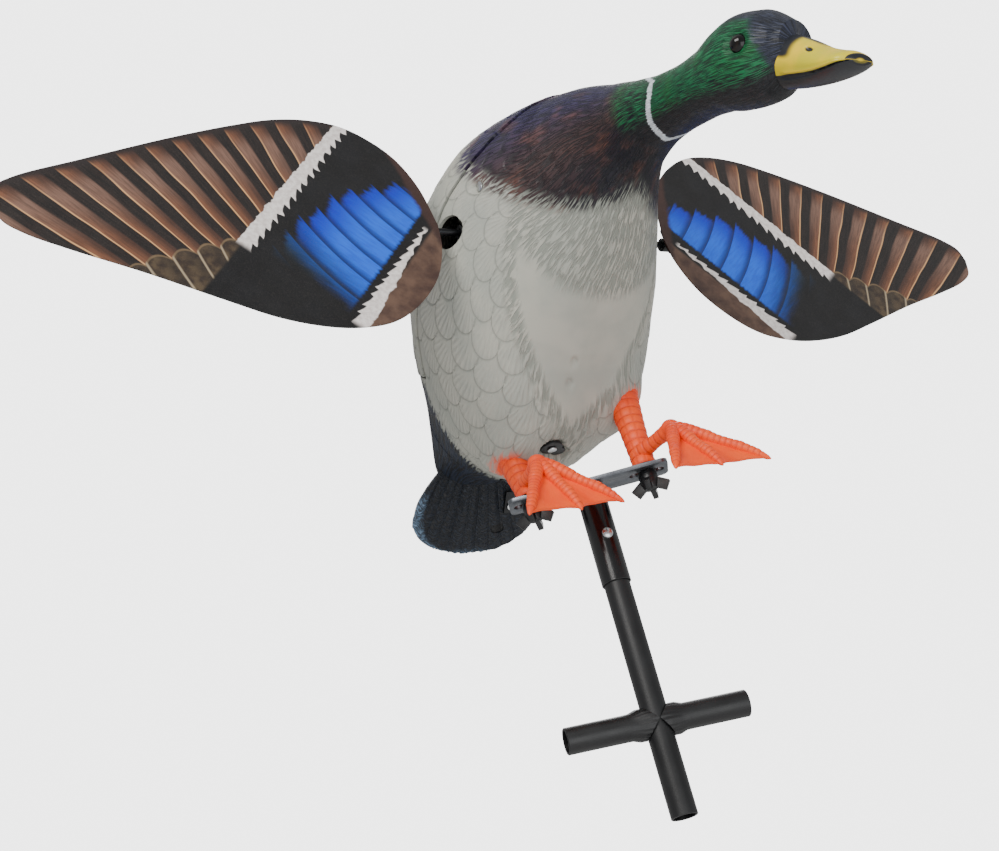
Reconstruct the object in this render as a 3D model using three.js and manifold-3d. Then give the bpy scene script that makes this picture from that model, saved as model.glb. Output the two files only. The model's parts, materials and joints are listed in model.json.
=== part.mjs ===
// Spinning-wing drake decoy on a telescoping post.
// Millimetres, +Z up, the bird faces -Y and its left side is +X. The origin is the middle of the
// post's bottom end. The bird itself is laid out from the middle of its wing shaft.
import * as THREE from 'three';
import { mergeVertices } from 'three/addons/utils/BufferGeometryUtils.js';
import Module from 'manifold-3d';

const wasm = await Module();
wasm.setup();

// ---- driving sizes ---------------------------------------------------------
const gap = 0.3;                 // clearance between pieces that touch or are glued
const runningFit = 0.4;          // radial clearance of a turning or sliding shaft
const seamGap = 0.8;             // width of the seam round the back cover

const postDiameter = 18.6;       // lower post tube, outside
const postWall = 1.5;
const postHeight = 212;          // lower post tube, bottom to top
const sleeveWall = 0.9;          // upper post tube
const sleeveOverlap = 44;        // how far the upper tube reaches down over the lower one
const sleeveBottom = postHeight - sleeveOverlap;
const bracketRise = 31.3;        // from the lower tube's top to the bracket's underside
const bracketHeight = postHeight + bracketRise;
const crossbarHeight = 66;       // foot-peg arms above the post's bottom end
const crossbarLength = 129;      // over both arms
const crossbarTurn = -0.36;      // radians about the post
const snapButtonDrop = 9;        // below the lower tube's top
const snapButtonHeight = postHeight - snapButtonDrop;
const snapButtonTurn = -0.26;    // radians from straight ahead towards the bird's right
const snapButtonDiameter = 8;

const bracketLength = 118;
const bracketWidth = 25;
const bracketThickness = 3;
const bracketTurn = -0.57;       // radians about the post: the feet are staggered
const footSpacing = 86;          // between the two foot knobs
const studDiameter = 5.8;
const slotLength = 26;

const shaftRise = 186.7;         // wing shaft above the bracket's underside
const shaftHeight = bracketHeight + shaftRise;
const shaftForward = 44;         // wing shaft ahead of the post
const shaftDiameter = 5;
const shaftLength = 256;
const shellWall = 2.5;
const shaftHoleDiameter = 25;    // opening in each flank

const wingRoot = 98;             // from the middle of the body to the wing's inner edge
const wingLength = 314;
const wingDepth = 184;           // chord of the printed plate
const wingThickness = 1.2;
const wingTilt = -0.08;          // resting angle of the wings about their shaft
const socketLength = 44;

const motorDiameter = 32;
const motorLength = 48;
const batterySize = new THREE.Vector3(64, 30, 40);
const tailWidth = 106;
const tailLength = 78;

// The body's cross-sections from rump to face, measured from the wing shaft:
// [distance back, height of the middle, half width, half height, lean in radians]
const bodySections = [
  [200, -97, 28, 8, 0], [190, -92, 35, 17, 0], [170, -82, 44, 33, 0], [140, -69, 58, 61, 0],
  [100, -51, 80, 94, 0], [50, -26, 96, 112, 0], [0, -1, 87, 99, 0], [-50, 8, 63, 78, 0],
  [-95, 10, 39, 55, 0], [-125, 6, 28, 36, 0.1], [-150, -1, 27, 25, 0.25], [-175, -11, 26, 20, 0.37],
  [-200, -21, 26, 19, 0.37], [-225, -30.5, 27, 22, 0.37], [-240, -35, 28.5, 27.5, 0.4],
  [-253, -40, 28.5, 30, 0.4], [-272, -50.5, 24, 28.5, 0.4], [-292, -60, 13, 16, 0.4],
];
// The bill's cross-sections: [distance back, height, half width, half height]
const billSections = [
  [-284, -66, 13, 16.5], [-298, -79, 13.5, 14], [-310, -90, 15, 10.5], [-320, -97, 15.5, 8],
  [-328, -101.5, 14, 5.8], [-332.5, -104.3, 9, 3.2],
];
const billPitch = 0.69;
// The seam of the back cover seen from the side, from its front end to the hinge, [back, height]
const seamFront = [-90, 88];
const seamShoulder = [-30, 48];
const seamCrook = [0, 22];
const seamCorner = [92, -68];
const hingeAt = [151, -21.5];
const hingeBarrel = 8.4;         // outside diameter of a hinge knuckle
const hingePinDiameter = 3.2;

// ---- solids ----------------------------------------------------------------
function solidOf(geometry) {
  const bare = geometry.clone();
  bare.deleteAttribute('normal');
  bare.deleteAttribute('uv');
  const merged = mergeVertices(bare, 1e-4);
  const mesh = new wasm.Mesh({
    numProp: 3,
    vertProperties: new Float32Array(merged.attributes.position.array),
    triVerts: new Uint32Array(merged.index.array),
  });
  return new wasm.Manifold(mesh);
}

function geometryOf(manifold) {
  const mesh = manifold.getMesh();
  const geometry = new THREE.BufferGeometry();
  geometry.setAttribute('position', new THREE.BufferAttribute(new Float32Array(mesh.vertProperties), 3));
  geometry.setIndex(new THREE.BufferAttribute(new Uint32Array(mesh.triVerts), 1));
  const flat = geometry.toNonIndexed();
  flat.computeVertexNormals();
  return flat;
}

function cut(body, ...tools) {
  return tools.reduce((left, tool) => left.subtract(tool), body);
}

function join(body, ...others) {
  return others.reduce((sum, other) => sum.add(other), body);
}

// A round bar from `start` to `end` along one axis ('x', 'y' or 'z'), centred on `at`.
function bar(diameter, axis, start, end, at = [0, 0, 0], facets = 20) {
  const geometry = new THREE.CylinderGeometry(diameter / 2, diameter / 2, end - start, facets);
  if (axis === 'x') geometry.rotateZ(-Math.PI / 2);
  if (axis === 'z') geometry.rotateX(Math.PI / 2);
  const middle = (start + end) / 2;
  const shift = { x: [middle, 0, 0], y: [0, middle, 0], z: [0, 0, middle] }[axis];
  geometry.translate(shift[0] + at[0], shift[1] + at[1], shift[2] + at[2]);
  return solidOf(geometry);
}

function block(low, high) {
  const geometry = new THREE.BoxGeometry(high[0] - low[0], high[1] - low[1], high[2] - low[2]);
  geometry.translate((low[0] + high[0]) / 2, (low[1] + high[1]) / 2, (low[2] + high[2]) / 2);
  return solidOf(geometry);
}

function pipe(outer, inner, axis, start, end, at = [0, 0, 0], facets = 20) {
  return cut(bar(outer, axis, start, end, at, facets), bar(inner, axis, start - 1, end + 1, at, facets));
}

// A solid turned about Z from a profile of [radius, height] points that starts and ends on the axis.
function turned(profile, facets = 18) {
  return solidOf(new THREE.LatheGeometry(profile.map(([r, z]) => new THREE.Vector2(r, z)), facets)
    .rotateX(Math.PI / 2));
}

// A closed skin through rings of equal count, closed at each end by a fan.
function loft(rings) {
  const count = rings[0].length;
  const points = rings.flat();
  const faces = [];
  for (let r = 0; r + 1 < rings.length; r += 1) {
    for (let i = 0; i < count; i += 1) {
      const a = r * count + i;
      const b = r * count + ((i + 1) % count);
      faces.push(a, b, a + count, b, b + count, a + count);
    }
  }
  const ends = [0, rings.length - 1];
  for (const end of ends) {
    const centre = new THREE.Vector3();
    rings[end].forEach((p) => centre.addScaledVector(p, 1 / count));
    points.push(centre);
    for (let i = 0; i < count; i += 1) {
      const a = end * count + i;
      const b = end * count + ((i + 1) % count);
      if (end === 0) faces.push(points.length - 1, b, a);
      else faces.push(points.length - 1, a, b);
    }
  }
  const geometry = new THREE.BufferGeometry().setFromPoints(points);
  geometry.setIndex(faces);
  return solidOf(geometry);
}

function ellipseRing(centre, halfWidth, halfHeight, lean, count) {
  return Array.from({ length: count }, (_, i) => {
    const angle = (2 * Math.PI * i) / count;
    const up = halfHeight * Math.sin(angle);
    return new THREE.Vector3(
      centre[0] + halfWidth * Math.cos(angle),
      centre[1] - up * Math.sin(lean),
      centre[2] + up * Math.cos(lean),
    );
  });
}

// The body's outer skin, or the same skin moved inwards, between two places along its length.
function bodySkin(inset, from, to, rings, count) {
  const place = new THREE.CatmullRomCurve3(bodySections.map((s) => new THREE.Vector3(s[0], s[1], s[4])));
  const size = new THREE.CatmullRomCurve3(bodySections.map((s) => new THREE.Vector3(s[2], s[3], 0)));
  const sections = Array.from({ length: rings }, (_, i) => {
    const along = from + ((to - from) * i) / (rings - 1);
    const centre = place.getPoint(along);
    const half = size.getPoint(along);
    return ellipseRing([0, centre.x, centre.y], half.x - inset, half.y - inset, centre.z, count);
  });
  return loft(sections);
}

function prism(outline, halfWidth) {
  const shape = new THREE.Shape(outline.map(([y, z]) => new THREE.Vector2(y, z)));
  const geometry = new THREE.ExtrudeGeometry(shape, { depth: 2 * halfWidth, bevelEnabled: false });
  // The shape's x becomes Y, its y becomes Z and the extrusion runs along X.
  const turn = new THREE.Matrix4().makeBasis(
    new THREE.Vector3(0, 1, 0), new THREE.Vector3(0, 0, 1), new THREE.Vector3(1, 0, 0));
  return solidOf(geometry.applyMatrix4(turn).translate(-halfWidth, 0, 0));
}

// ---- scene helpers ---------------------------------------------------------
const finish = {
  shell: { color: 0xaeada4, roughness: 0.62, metalness: 0 },
  darkShell: { color: 0x23262c, roughness: 0.5, metalness: 0 },
  orange: { color: 0xff5214, roughness: 0.5, metalness: 0 },
  black: { color: 0x0c0e12, roughness: 0.35, metalness: 0.1 },
  blackPlastic: { color: 0x101114, roughness: 0.55, metalness: 0 },
  steel: { color: 0xb8bcc0, roughness: 0.3, metalness: 1 },
  grey: { color: 0x6e7275, roughness: 0.45, metalness: 0.8 },
  print: { color: 0x5a4334, roughness: 0.5, metalness: 0 },
  eye: { color: 0x120c08, roughness: 0.08, metalness: 0 },
  board: { color: 0x1d5a33, roughness: 0.5, metalness: 0.1 },
  battery: { color: 0x2a3f6b, roughness: 0.4, metalness: 0 },
  spring: { color: 0x9a9c9e, roughness: 0.3, metalness: 1 },
};

const group = new THREE.Group();
const bird = new THREE.Group();
bird.position.set(0, -shaftForward, shaftHeight);
group.add(bird);

function place(parent, name, manifold, look) {
  const mesh = new THREE.Mesh(geometryOf(manifold), new THREE.MeshStandardMaterial(finish[look]));
  mesh.name = name;
  parent.add(mesh);
  return mesh;
}

const sides = [{ name: 'right', x: -1 }, { name: 'left', x: 1 }];

// ---- post ------------------------------------------------------------------
const postRadius = postDiameter / 2;
const sleeveInner = postDiameter + 2 * gap;
const sleeveDiameter = sleeveInner + 2 * sleeveWall;
const postBore = postDiameter - 2 * postWall;
const bracketTop = bracketHeight + bracketThickness;

function forwardBar(diameter, start, end, height, turn) {
  const degrees = THREE.MathUtils.radToDeg(turn);
  return bar(diameter, 'y', -end, -start).rotate([0, 0, degrees]).translate([0, 0, height]);
}

function makePost() {
  const buttonHole = forwardBar(snapButtonDiameter + 2 * gap, 2, 20, snapButtonHeight, snapButtonTurn);
  const lower = cut(pipe(postDiameter, postBore, 'z', 0, postHeight), buttonHole);
  place(group, 'lower_post', lower, 'black');
  const upper = cut(pipe(sleeveDiameter, sleeveInner, 'z', sleeveBottom, bracketHeight - gap), buttonHole);
  place(group, 'upper_post', upper, 'black');
  for (const side of sides) {
    const arm = join(
      pipe(postDiameter, postBore, 'x', 2, crossbarLength / 2),
      pipe(postDiameter + 2.4, postBore, 'x', 2, postRadius + 3),
    );
    const fitted = cut(arm, bar(postDiameter + 2 * gap, 'z', -30, 30))
      .rotate([0, 0, side.x > 0 ? 0 : 180])
      .rotate([0, 0, THREE.MathUtils.radToDeg(crossbarTurn)])
      .translate([0, 0, crossbarHeight]);
    place(group, `${side.name}_foot_peg_arm`, fitted, 'black');
  }
}

function makeSnapButton() {
  const inner = 4.6;
  const proud = sleeveDiameter / 2 + 2.2;
  const radius = snapButtonDiameter / 2;
  const dome = turned([[0, inner], [radius, inner], [radius, proud - 1.6], [radius * 0.75, proud - 0.5],
    [0, proud]]);
  const degrees = THREE.MathUtils.radToDeg(snapButtonTurn);
  // The turned profile stands on Z, so it is tipped to point straight ahead.
  place(group, 'snap_button', dome.rotate([90, 0, 0]).rotate([0, 0, degrees])
    .translate([0, 0, snapButtonHeight]), 'steel');
  const leaf = block([-2.6, -inner + gap, -26], [2.6, -inner + gap + 0.8, 8])
    .rotate([0, 0, degrees])
    .translate([0, 0, snapButtonHeight]);
  place(group, 'snap_button_spring', leaf, 'spring');
}

// ---- bracket, knobs --------------------------------------------------------
const bracketDegrees = THREE.MathUtils.radToDeg(bracketTurn);

function makeBracket() {
  const rounded = new THREE.Shape();
  const halfLength = bracketLength / 2;
  const halfWidth = bracketWidth / 2;
  const corner = 5;
  rounded.moveTo(-halfLength + corner, -halfWidth);
  rounded.lineTo(halfLength - corner, -halfWidth);
  rounded.absarc(halfLength - corner, -halfWidth + corner, corner, -Math.PI / 2, 0);
  rounded.absarc(halfLength - corner, halfWidth - corner, corner, 0, Math.PI / 2);
  rounded.absarc(-halfLength + corner, halfWidth - corner, corner, Math.PI / 2, Math.PI);
  rounded.absarc(-halfLength + corner, -halfWidth + corner, corner, Math.PI, 1.5 * Math.PI);
  const plate = solidOf(new THREE.ExtrudeGeometry(rounded,
    { depth: bracketThickness, bevelEnabled: false, curveSegments: 6 }).translate(0, 0, bracketHeight));
  const slotWidth = studDiameter + 1.4;
  const slots = sides.map(({ x }) => {
    const middle = (x * footSpacing) / 2;
    const half = (slotLength - slotWidth) / 2;
    const low = bracketHeight - 1;
    const high = bracketTop + 1;
    return join(
      block([middle - half, -slotWidth / 2, low], [middle + half, slotWidth / 2, high]),
      bar(slotWidth, 'z', low, high, [middle - half, 0, 0], 20),
      bar(slotWidth, 'z', low, high, [middle + half, 0, 0], 20),
    );
  });
  const boltHole = bar(5.6, 'z', bracketHeight - 1, bracketTop + 1);
  place(group, 'bracket_plate', cut(plate, ...slots, boltHole).rotate([0, 0, bracketDegrees]), 'grey');
  const plug = cut(bar(sleeveInner - 2 * gap, 'z', postHeight + 2, bracketHeight - gap),
    bar(5.6, 'z', bracketHeight - 18, bracketHeight + 1));
  place(group, 'post_plug', plug, 'blackPlastic');
  const bolt = join(bar(5, 'z', bracketHeight - 16, bracketTop + gap),
    bar(10, 'z', bracketTop + gap, bracketTop + gap + 3.2, [0, 0, 0], 6));
  place(group, 'bracket_bolt', bolt, 'steel');
}

// The knob's spot on the bracket, as an [x, y] pair.
function footSpot(side) {
  const reach = (side.x * footSpacing) / 2;
  return [reach * Math.cos(bracketTurn), reach * Math.sin(bracketTurn)];
}

function makeKnobs() {
  for (const side of sides) {
    const [x, y] = footSpot(side);
    const top = bracketHeight - gap;
    let knob = join(
      turned([[0, top - 13], [5, top - 13], [6.8, top - 8], [7, top], [0, top]]),
      bar(studDiameter, 'z', top - 1, bracketTop + 15, [0, 0, 0], 24),
    );
    for (let prong = 0; prong < 4; prong += 1) {
      const finger = block([4, -1.9, -4], [15, 1.9, 3.6])
        .rotate([0, 34, 0])
        .rotate([0, 0, 45 + 90 * prong])
        .translate([0, 0, top - 5.5]);
      knob = join(knob, finger);
    }
    place(group, `${side.name}_foot_knob`, knob.translate([x, y, 0]), 'blackPlastic');
  }
}

// ---- legs and feet ---------------------------------------------------------
// Where each leg enters the belly, from the middle of the wing shaft
const legTop = { right: [-29, 87, -140], left: [48, 38, -115] };
const footPitch = { right: 56, left: 51 };
const footRoll = { right: -3.5, left: -7 };
const footYaw = { right: -1, left: 2 };
// Where the toes meet, from the spot where the knob's stud leaves the bracket
const toeRoot = { right: [-4, -28, 15], left: [8, -32, 15.7] };
const instepDiameter = 11;
const instepLift = 13;           // instep's rear end above the bracket
const pegDiameter = 12;
const outerSkin = bodySkin(0, 0, 1, 33, 28);
const birdShift = [0, -shaftForward, shaftHeight];

function legTopSpot(side) {
  return new THREE.Vector3(...legTop[side.name]).add(new THREE.Vector3(...birdShift));
}

// Lays a solid that was built along +Z onto the line from one point to another.
function laidBetween(solid, from, to) {
  const direction = to.clone().sub(from).normalize();
  const turn = new THREE.Quaternion().setFromUnitVectors(new THREE.Vector3(0, 0, 1), direction);
  const matrix = new THREE.Matrix4().compose(from, turn, new THREE.Vector3(1, 1, 1));
  return solid.transform(matrix.elements);
}

// Lays a solid that was built along +Z onto the line from the ankle to the belly.
function alongLeg(solid, side) {
  const [x, y] = footSpot(side);
  return laidBetween(solid, new THREE.Vector3(x, y, bracketTop + gap), legTopSpot(side));
}

function legLength(side) {
  const [x, y] = footSpot(side);
  return legTopSpot(side).distanceTo(new THREE.Vector3(x, y, bracketTop + gap));
}

function makeLegs() {
  for (const side of sides) {
    const [x, y] = footSpot(side);
    const length = legLength(side);
    const flesh = alongLeg(turned([[0, -14], [9, -14], [8.2, 12], [9.5, length * 0.6],
      [12.5, length + 12], [0, length + 12]], 20), side);
    const ankleFloor = block([-80, -80, bracketTop - 80], [80, 80, bracketTop + gap]);
    const bulk = cut(flesh, ankleFloor, outerSkin.translate(birdShift).translate([0, 0, -gap]));
    const peg = alongLeg(bar(pegDiameter, 'z', length - 12, length + 24), side);
    const studHole = bar(studDiameter + 2 * gap, 'z', bracketTop - 1, bracketTop + 19, [x, y, 0], 24);
    const nutPocket = bar(10 + 2 * gap, 'z', bracketTop + 7, bracketTop + 12 + 2 * gap, [x, y, 0], 6);
    place(group, `${side.name}_leg`, cut(join(bulk, peg), studHole, nutPocket), 'orange');
    const nut = cut(bar(10, 'z', bracketTop + 7 + gap, bracketTop + 12 + gap, [x, y, 0], 6),
      bar(studDiameter + 2 * gap, 'z', bracketTop, bracketTop + 20, [x, y, 0], 24));
    place(group, `${side.name}_leg_nut`, nut, 'steel');
    const clip = pipe(pegDiameter + 6, pegDiameter + 2 * gap, 'z', length + 19, length + 21);
    place(group, `${side.name}_leg_clip`, alongLeg(clip, side), 'blackPlastic');
  }
}

// The toes as [degrees from straight ahead towards the outside, length]
const webThickness = 2.4;
const toeLayout = [[-31, 72], [-1, 66], [31, 77]];

// A webbed foot lying flat, toes along -Y, its ankle at the origin.
function flatFoot(side) {
  const toes = toeLayout.map(([degrees, reach]) => ({ degrees: degrees * side.x, reach }));
  const spot = (toe, share) => {
    const angle = THREE.MathUtils.degToRad(toe.degrees);
    return new THREE.Vector2(Math.sin(angle), -Math.cos(angle)).multiplyScalar(toe.reach * share);
  };
  const web = new THREE.Shape();
  web.moveTo(-6 * side.x, 2);
  toes.forEach((toe, i) => {
    const tip = spot(toe, 0.97);
    if (i === 0) {
      web.lineTo(tip.x, tip.y);
      return;
    }
    const dip = spot(toes[i - 1], 0.8).add(spot(toe, 0.8)).multiplyScalar(0.5);
    web.quadraticCurveTo(dip.x, dip.y, tip.x, tip.y);
  });
  web.lineTo(6 * side.x, 2);
  const webbing = { depth: webThickness, bevelEnabled: false, curveSegments: 6 };
  const sheet = solidOf(new THREE.ExtrudeGeometry(web, webbing).translate(0, 0, -webThickness / 2));
  const bones = toes.map((toe) => turned([[0, 0], [4.4, 0], [3.6, toe.reach * 0.5], [2.8, toe.reach * 0.9],
    [1, toe.reach], [0, toe.reach]], 10).rotate([90, 0, toe.degrees]));
  return join(sheet, ...bones, bar(9.6, 'z', -4.4, 4.4, [0, 0, 0], 16));
}

function makeFeet() {
  for (const side of sides) {
    const [x, y] = footSpot(side);
    const root = new THREE.Vector3(x, y, bracketTop).add(new THREE.Vector3(...toeRoot[side.name]));
    const ankle = new THREE.Vector3(x, y, bracketTop + instepLift);
    const instepLength = ankle.distanceTo(root);
    const instep = laidBetween(bar(instepDiameter, 'z', 0, instepLength, [0, 0, 0], 16), ankle, root);
    const fan = flatFoot(side)
      .rotate([0, footRoll[side.name], 0])
      .rotate([footPitch[side.name], 0, 0])
      .rotate([0, 0, footYaw[side.name]])
      .translate(root.toArray());
    const foot = join(fan, instep);
    const legClearance = alongLeg(bar(20.2, 'z', -14, 60), side);
    const plateClearance = block([-bracketLength / 2 - 1, -bracketWidth / 2 - 1, bracketHeight - 4],
      [bracketLength / 2 + 1, bracketWidth / 2 + 1, bracketTop + gap]).rotate([0, 0, bracketDegrees]);
    place(group, `${side.name}_foot`, cut(foot, legClearance, plateClearance), 'orange');
  }
}

// ---- shell -----------------------------------------------------------------
const knuckleHalf = 7.6;
const knuckleEnd = 15;
const shaftHole = bar(shaftHoleDiameter, 'x', -140, 140);
const flankScrewAt = [0, -30, 20];
const bellyPlateAt = [-8, 64, 0];
const bellyPlateTop = -140.6;
const magnetOnSeam = 0.51;       // how far the magnets lie from the seam's front end to its shoulder

// The region above the seam, pushed towards the belly by `grow`.
function coverRegion(grow) {
  const pushed = ([y, z], back, up) => [y + back * grow, z + up * grow];
  const corners = [
    pushed(seamFront, -0.55, -0.83),
    pushed(seamShoulder, -0.61, -0.79),
    pushed(seamCrook, -0.68, -0.74),
    pushed(seamCorner, 0, -1.28),
    pushed(hingeAt, 0.62, -0.78),
  ];
  const beyond = [[corners[4][0] + 20, 160], [corners[0][0], 160]];
  return prism([...corners, ...beyond], 130);
}

function knuckle(from, to, grow) {
  return bar(hingeBarrel + 2 * grow, 'x', from - grow, to + grow, [0, ...hingeAt], 24);
}

// Stands a solid that was built along +Z on the front stretch of the seam, square to it.
function onSeam(solid) {
  const [fy, fz] = seamFront;
  const [ky, kz] = seamShoulder;
  const slope = THREE.MathUtils.radToDeg(Math.atan2(kz - fz, ky - fy));
  return solid.rotate([slope, 0, 0])
    .translate([0, fy + (ky - fy) * magnetOnSeam, fz + (kz - fz) * magnetOnSeam]);
}

// Sets a solid built about Z, outside facing down, on the sloping belly behind the legs.
function onRearBelly(solid) {
  return solid.rotate([24, 0, 0]).translate([0, 138, -130.5]);
}

function bellyOval(grow, low, high) {
  const [x, y] = bellyPlateAt;
  return join(
    bar(17 + 2 * grow, 'z', low, high, [x, y, 0]),
    bar(11 + 2 * grow, 'z', low, high, [x + 8, y + 5, 0]),
  );
}

function shellStock() {
  const cavity = bodySkin(shellWall, 0.075, 0.52, 16, 20);
  const magnetSeat = onSeam(block([-7, -26, -9], [7, 14, 9])).intersect(outerSkin);
  const screwPosts = sides.map(({ x }) => {
    const post = bar(13, 'x', x > 0 ? 53.3 : -100, x > 0 ? 100 : -53.3, flankScrewAt, 24);
    return post.intersect(outerSkin);
  });
  const plateSeat = bar(30, 'z', -160, -136, bellyPlateAt).intersect(outerSkin);
  const buttonSeat = onRearBelly(bar(27, 'z', -14, 6)).intersect(outerSkin);
  const bill = loft(billSections.map(([y, z, w, h]) => ellipseRing([0, y, z], w, h, billPitch, 20)));
  return join(cut(outerSkin, cavity), magnetSeat, ...screwPosts, plateSeat, buttonSeat, bill);
}

function makeShell() {
  const [plateX, plateY] = bellyPlateAt;
  const drains = [bar(3, 'z', -130, -80, [-8, 6, 0], 12), bar(3, 'z', -130, -80, [-8, 19, 0], 12)];
  const screwHoles = sides.map(({ x }) => join(
    bar(4, 'x', x > 0 ? 40 : -90, x > 0 ? 90 : -40, flankScrewAt, 16),
    bar(9, 'x', x > 0 ? 69.2 : -90, x > 0 ? 90 : -69.2, flankScrewAt),
  ));
  const pegHoles = sides.map((side) => {
    const hole = bar(pegDiameter + 2 * gap, 'z', 10, legLength(side) + 26);
    return alongLeg(hole, side).translate([0, shaftForward, -shaftHeight]);
  });
  const eyeSockets = sides.map(({ x }) => eyeBall(x, gap));
  const magnetPocket = onSeam(bar(8 + 2 * gap, 'z', -3.9, 3.9));
  const stock = cut(shellStock(), magnetPocket);
  const pinHole = bar(hingePinDiameter + 2 * gap, 'x', -40, 40, [0, ...hingeAt], 16);

  const ends = sides.map(({ x }) => knuckle(x > 0 ? knuckleHalf + gap : -knuckleEnd,
    x > 0 ? knuckleEnd : -knuckleHalf - gap, 0));
  const belly = cut(stock, coverRegion(seamGap / 2), shaftHole, ...drains, ...screwHoles, ...pegHoles,
    ...eyeSockets, bellyOval(gap, -170, bellyPlateTop), bar(3.8, 'z', -150, -120, [plateX, plateY, 0], 16),
    onRearBelly(bar(15, 'z', -20, 20)), onRearBelly(bar(21.6, 'z', -20, 1.1)));
  const shell = cut(join(belly, ...ends), knuckle(-knuckleHalf, knuckleHalf, gap), pinHole);
  place(bird, 'body_shell', shell, 'shell');

  const lid = cut(stock.intersect(coverRegion(-seamGap / 2)), shaftHole);
  const endRooms = sides.map(({ x }) => knuckle(x > 0 ? knuckleHalf : -knuckleEnd - 2,
    x > 0 ? knuckleEnd + 2 : -knuckleHalf, gap));
  const cover = cut(join(cut(lid, ...endRooms), knuckle(-knuckleHalf, knuckleHalf, 0)), pinHole);
  place(bird, 'back_cover', cover, 'shell');
  const pin = bar(hingePinDiameter, 'x', -knuckleEnd - 1, knuckleEnd + 1, [0, ...hingeAt], 16);
  place(bird, 'cover_hinge_pin', pin, 'steel');
  place(bird, 'shell_magnet', onSeam(bar(8, 'z', -3.6, -0.8)), 'steel');
  place(bird, 'cover_magnet', onSeam(bar(8, 'z', 0.8, 3.6)), 'steel');
}

const eyeRadius = 6.6;

function eyeBall(x, grow) {
  return solidOf(new THREE.SphereGeometry(eyeRadius + grow, 14, 10).translate(20.8 * x, -269.5, -43.5));
}

function makeTrim() {
  for (const side of sides) {
    place(bird, `${side.name}_eye`, eyeBall(side.x, 0), 'eye');
    const from = side.x > 0 ? 44 : -69.7;
    const screw = join(bar(3.4, 'x', from, from + 25.7, flankScrewAt, 16),
      bar(7.4, 'x', side.x > 0 ? 69.5 : -70.9, side.x > 0 ? 70.9 : -69.5, flankScrewAt));
    place(bird, `${side.name}_flank_screw`, screw, 'steel');
  }
  const [x, y] = bellyPlateAt;
  const plateLow = bellyPlateTop - gap - 2.6;
  const plate = cut(bellyOval(0, plateLow, bellyPlateTop - gap), bar(4, 'z', -160, -120, [x, y, 0], 16));
  place(bird, 'belly_plate', plate, 'blackPlastic');
  const plateScrew = join(
    bar(3.2, 'z', plateLow - 0.5, -128, [x, y, 0], 16),
    bar(7, 'z', plateLow - 1.8, plateLow - gap, [x, y, 0], 20),
  );
  place(bird, 'belly_plate_screw', plateScrew, 'steel');
  place(bird, 'button_bezel', onRearBelly(pipe(21, 14.8, 'z', -1.3, 0.8)), 'blackPlastic');
  const buttonProfile = [[0, -3.2], [4.5, -3], [6.4, -2.2], [6.9, -1], [6.9, 2.5], [0, 2.5]];
  place(bird, 'power_button', onRearBelly(turned(buttonProfile, 28)), 'grey');
  const switchBlock = join(block([-10, -8, 6.3], [10, 8, 13]), bar(4, 'z', 5, 7, [0, 0, 0], 16));
  place(bird, 'power_switch', onRearBelly(switchBlock), 'blackPlastic');
}

// ---- tail ------------------------------------------------------------------
const tailScrewAt = [32, 38, 0];
const tailSlotSides = [22, 27];
const tailSlotShare = 0.74;

// Lays a solid with its length along +Y and its thickness along +Z on the drooping tail.
function onTail(solid) {
  return solid.rotate([-45.5, 0, 0]).translate([0, 180, -92]);
}

function makeTail() {
  const half = tailWidth / 2;
  const fan = new THREE.Shape();
  fan.moveTo(-0.36 * half, -14);
  fan.bezierCurveTo(-0.6 * half, 10, -1.02 * half, 0.3 * tailLength, -half, 0.62 * tailLength);
  fan.bezierCurveTo(-0.98 * half, 0.9 * tailLength, -0.5 * half, tailLength, 0, tailLength);
  fan.bezierCurveTo(0.5 * half, tailLength, 0.98 * half, 0.9 * tailLength, half, 0.62 * tailLength);
  fan.bezierCurveTo(1.02 * half, 0.3 * tailLength, 0.6 * half, 10, 0.36 * half, -14);
  const slab = solidOf(new THREE.ExtrudeGeometry(fan, { depth: 5, bevelEnabled: false, curveSegments: 8 })
    .translate(0, 0, -2.5));
  const slotCentres = tailSlotSides.map((x) => [x, tailSlotShare * tailLength, 0]);
  const slot = join(...slotCentres.map((at) => bar(7, 'z', -5, 0.6, at, 16)));
  const screwHole = bar(3.2, 'z', -9, 9, tailScrewAt, 12);
  const fitted = cut(onTail(cut(slab, slot, screwHole)), outerSkin.translate([0, gap, -gap]), outerSkin);
  place(bird, 'tail_fan', fitted, 'darkShell');
  const tab = cut(block([27, 26, -4.6], [37, 44, -2.8]), screwHole);
  place(bird, 'tail_tab', onTail(tab), 'grey');
  const screw = join(bar(2.6, 'z', -5, 1.5, tailScrewAt, 12), bar(6.4, 'z', -6.2, -4.9, tailScrewAt, 20));
  place(bird, 'tail_screw', onTail(screw), 'steel');
}

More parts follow.
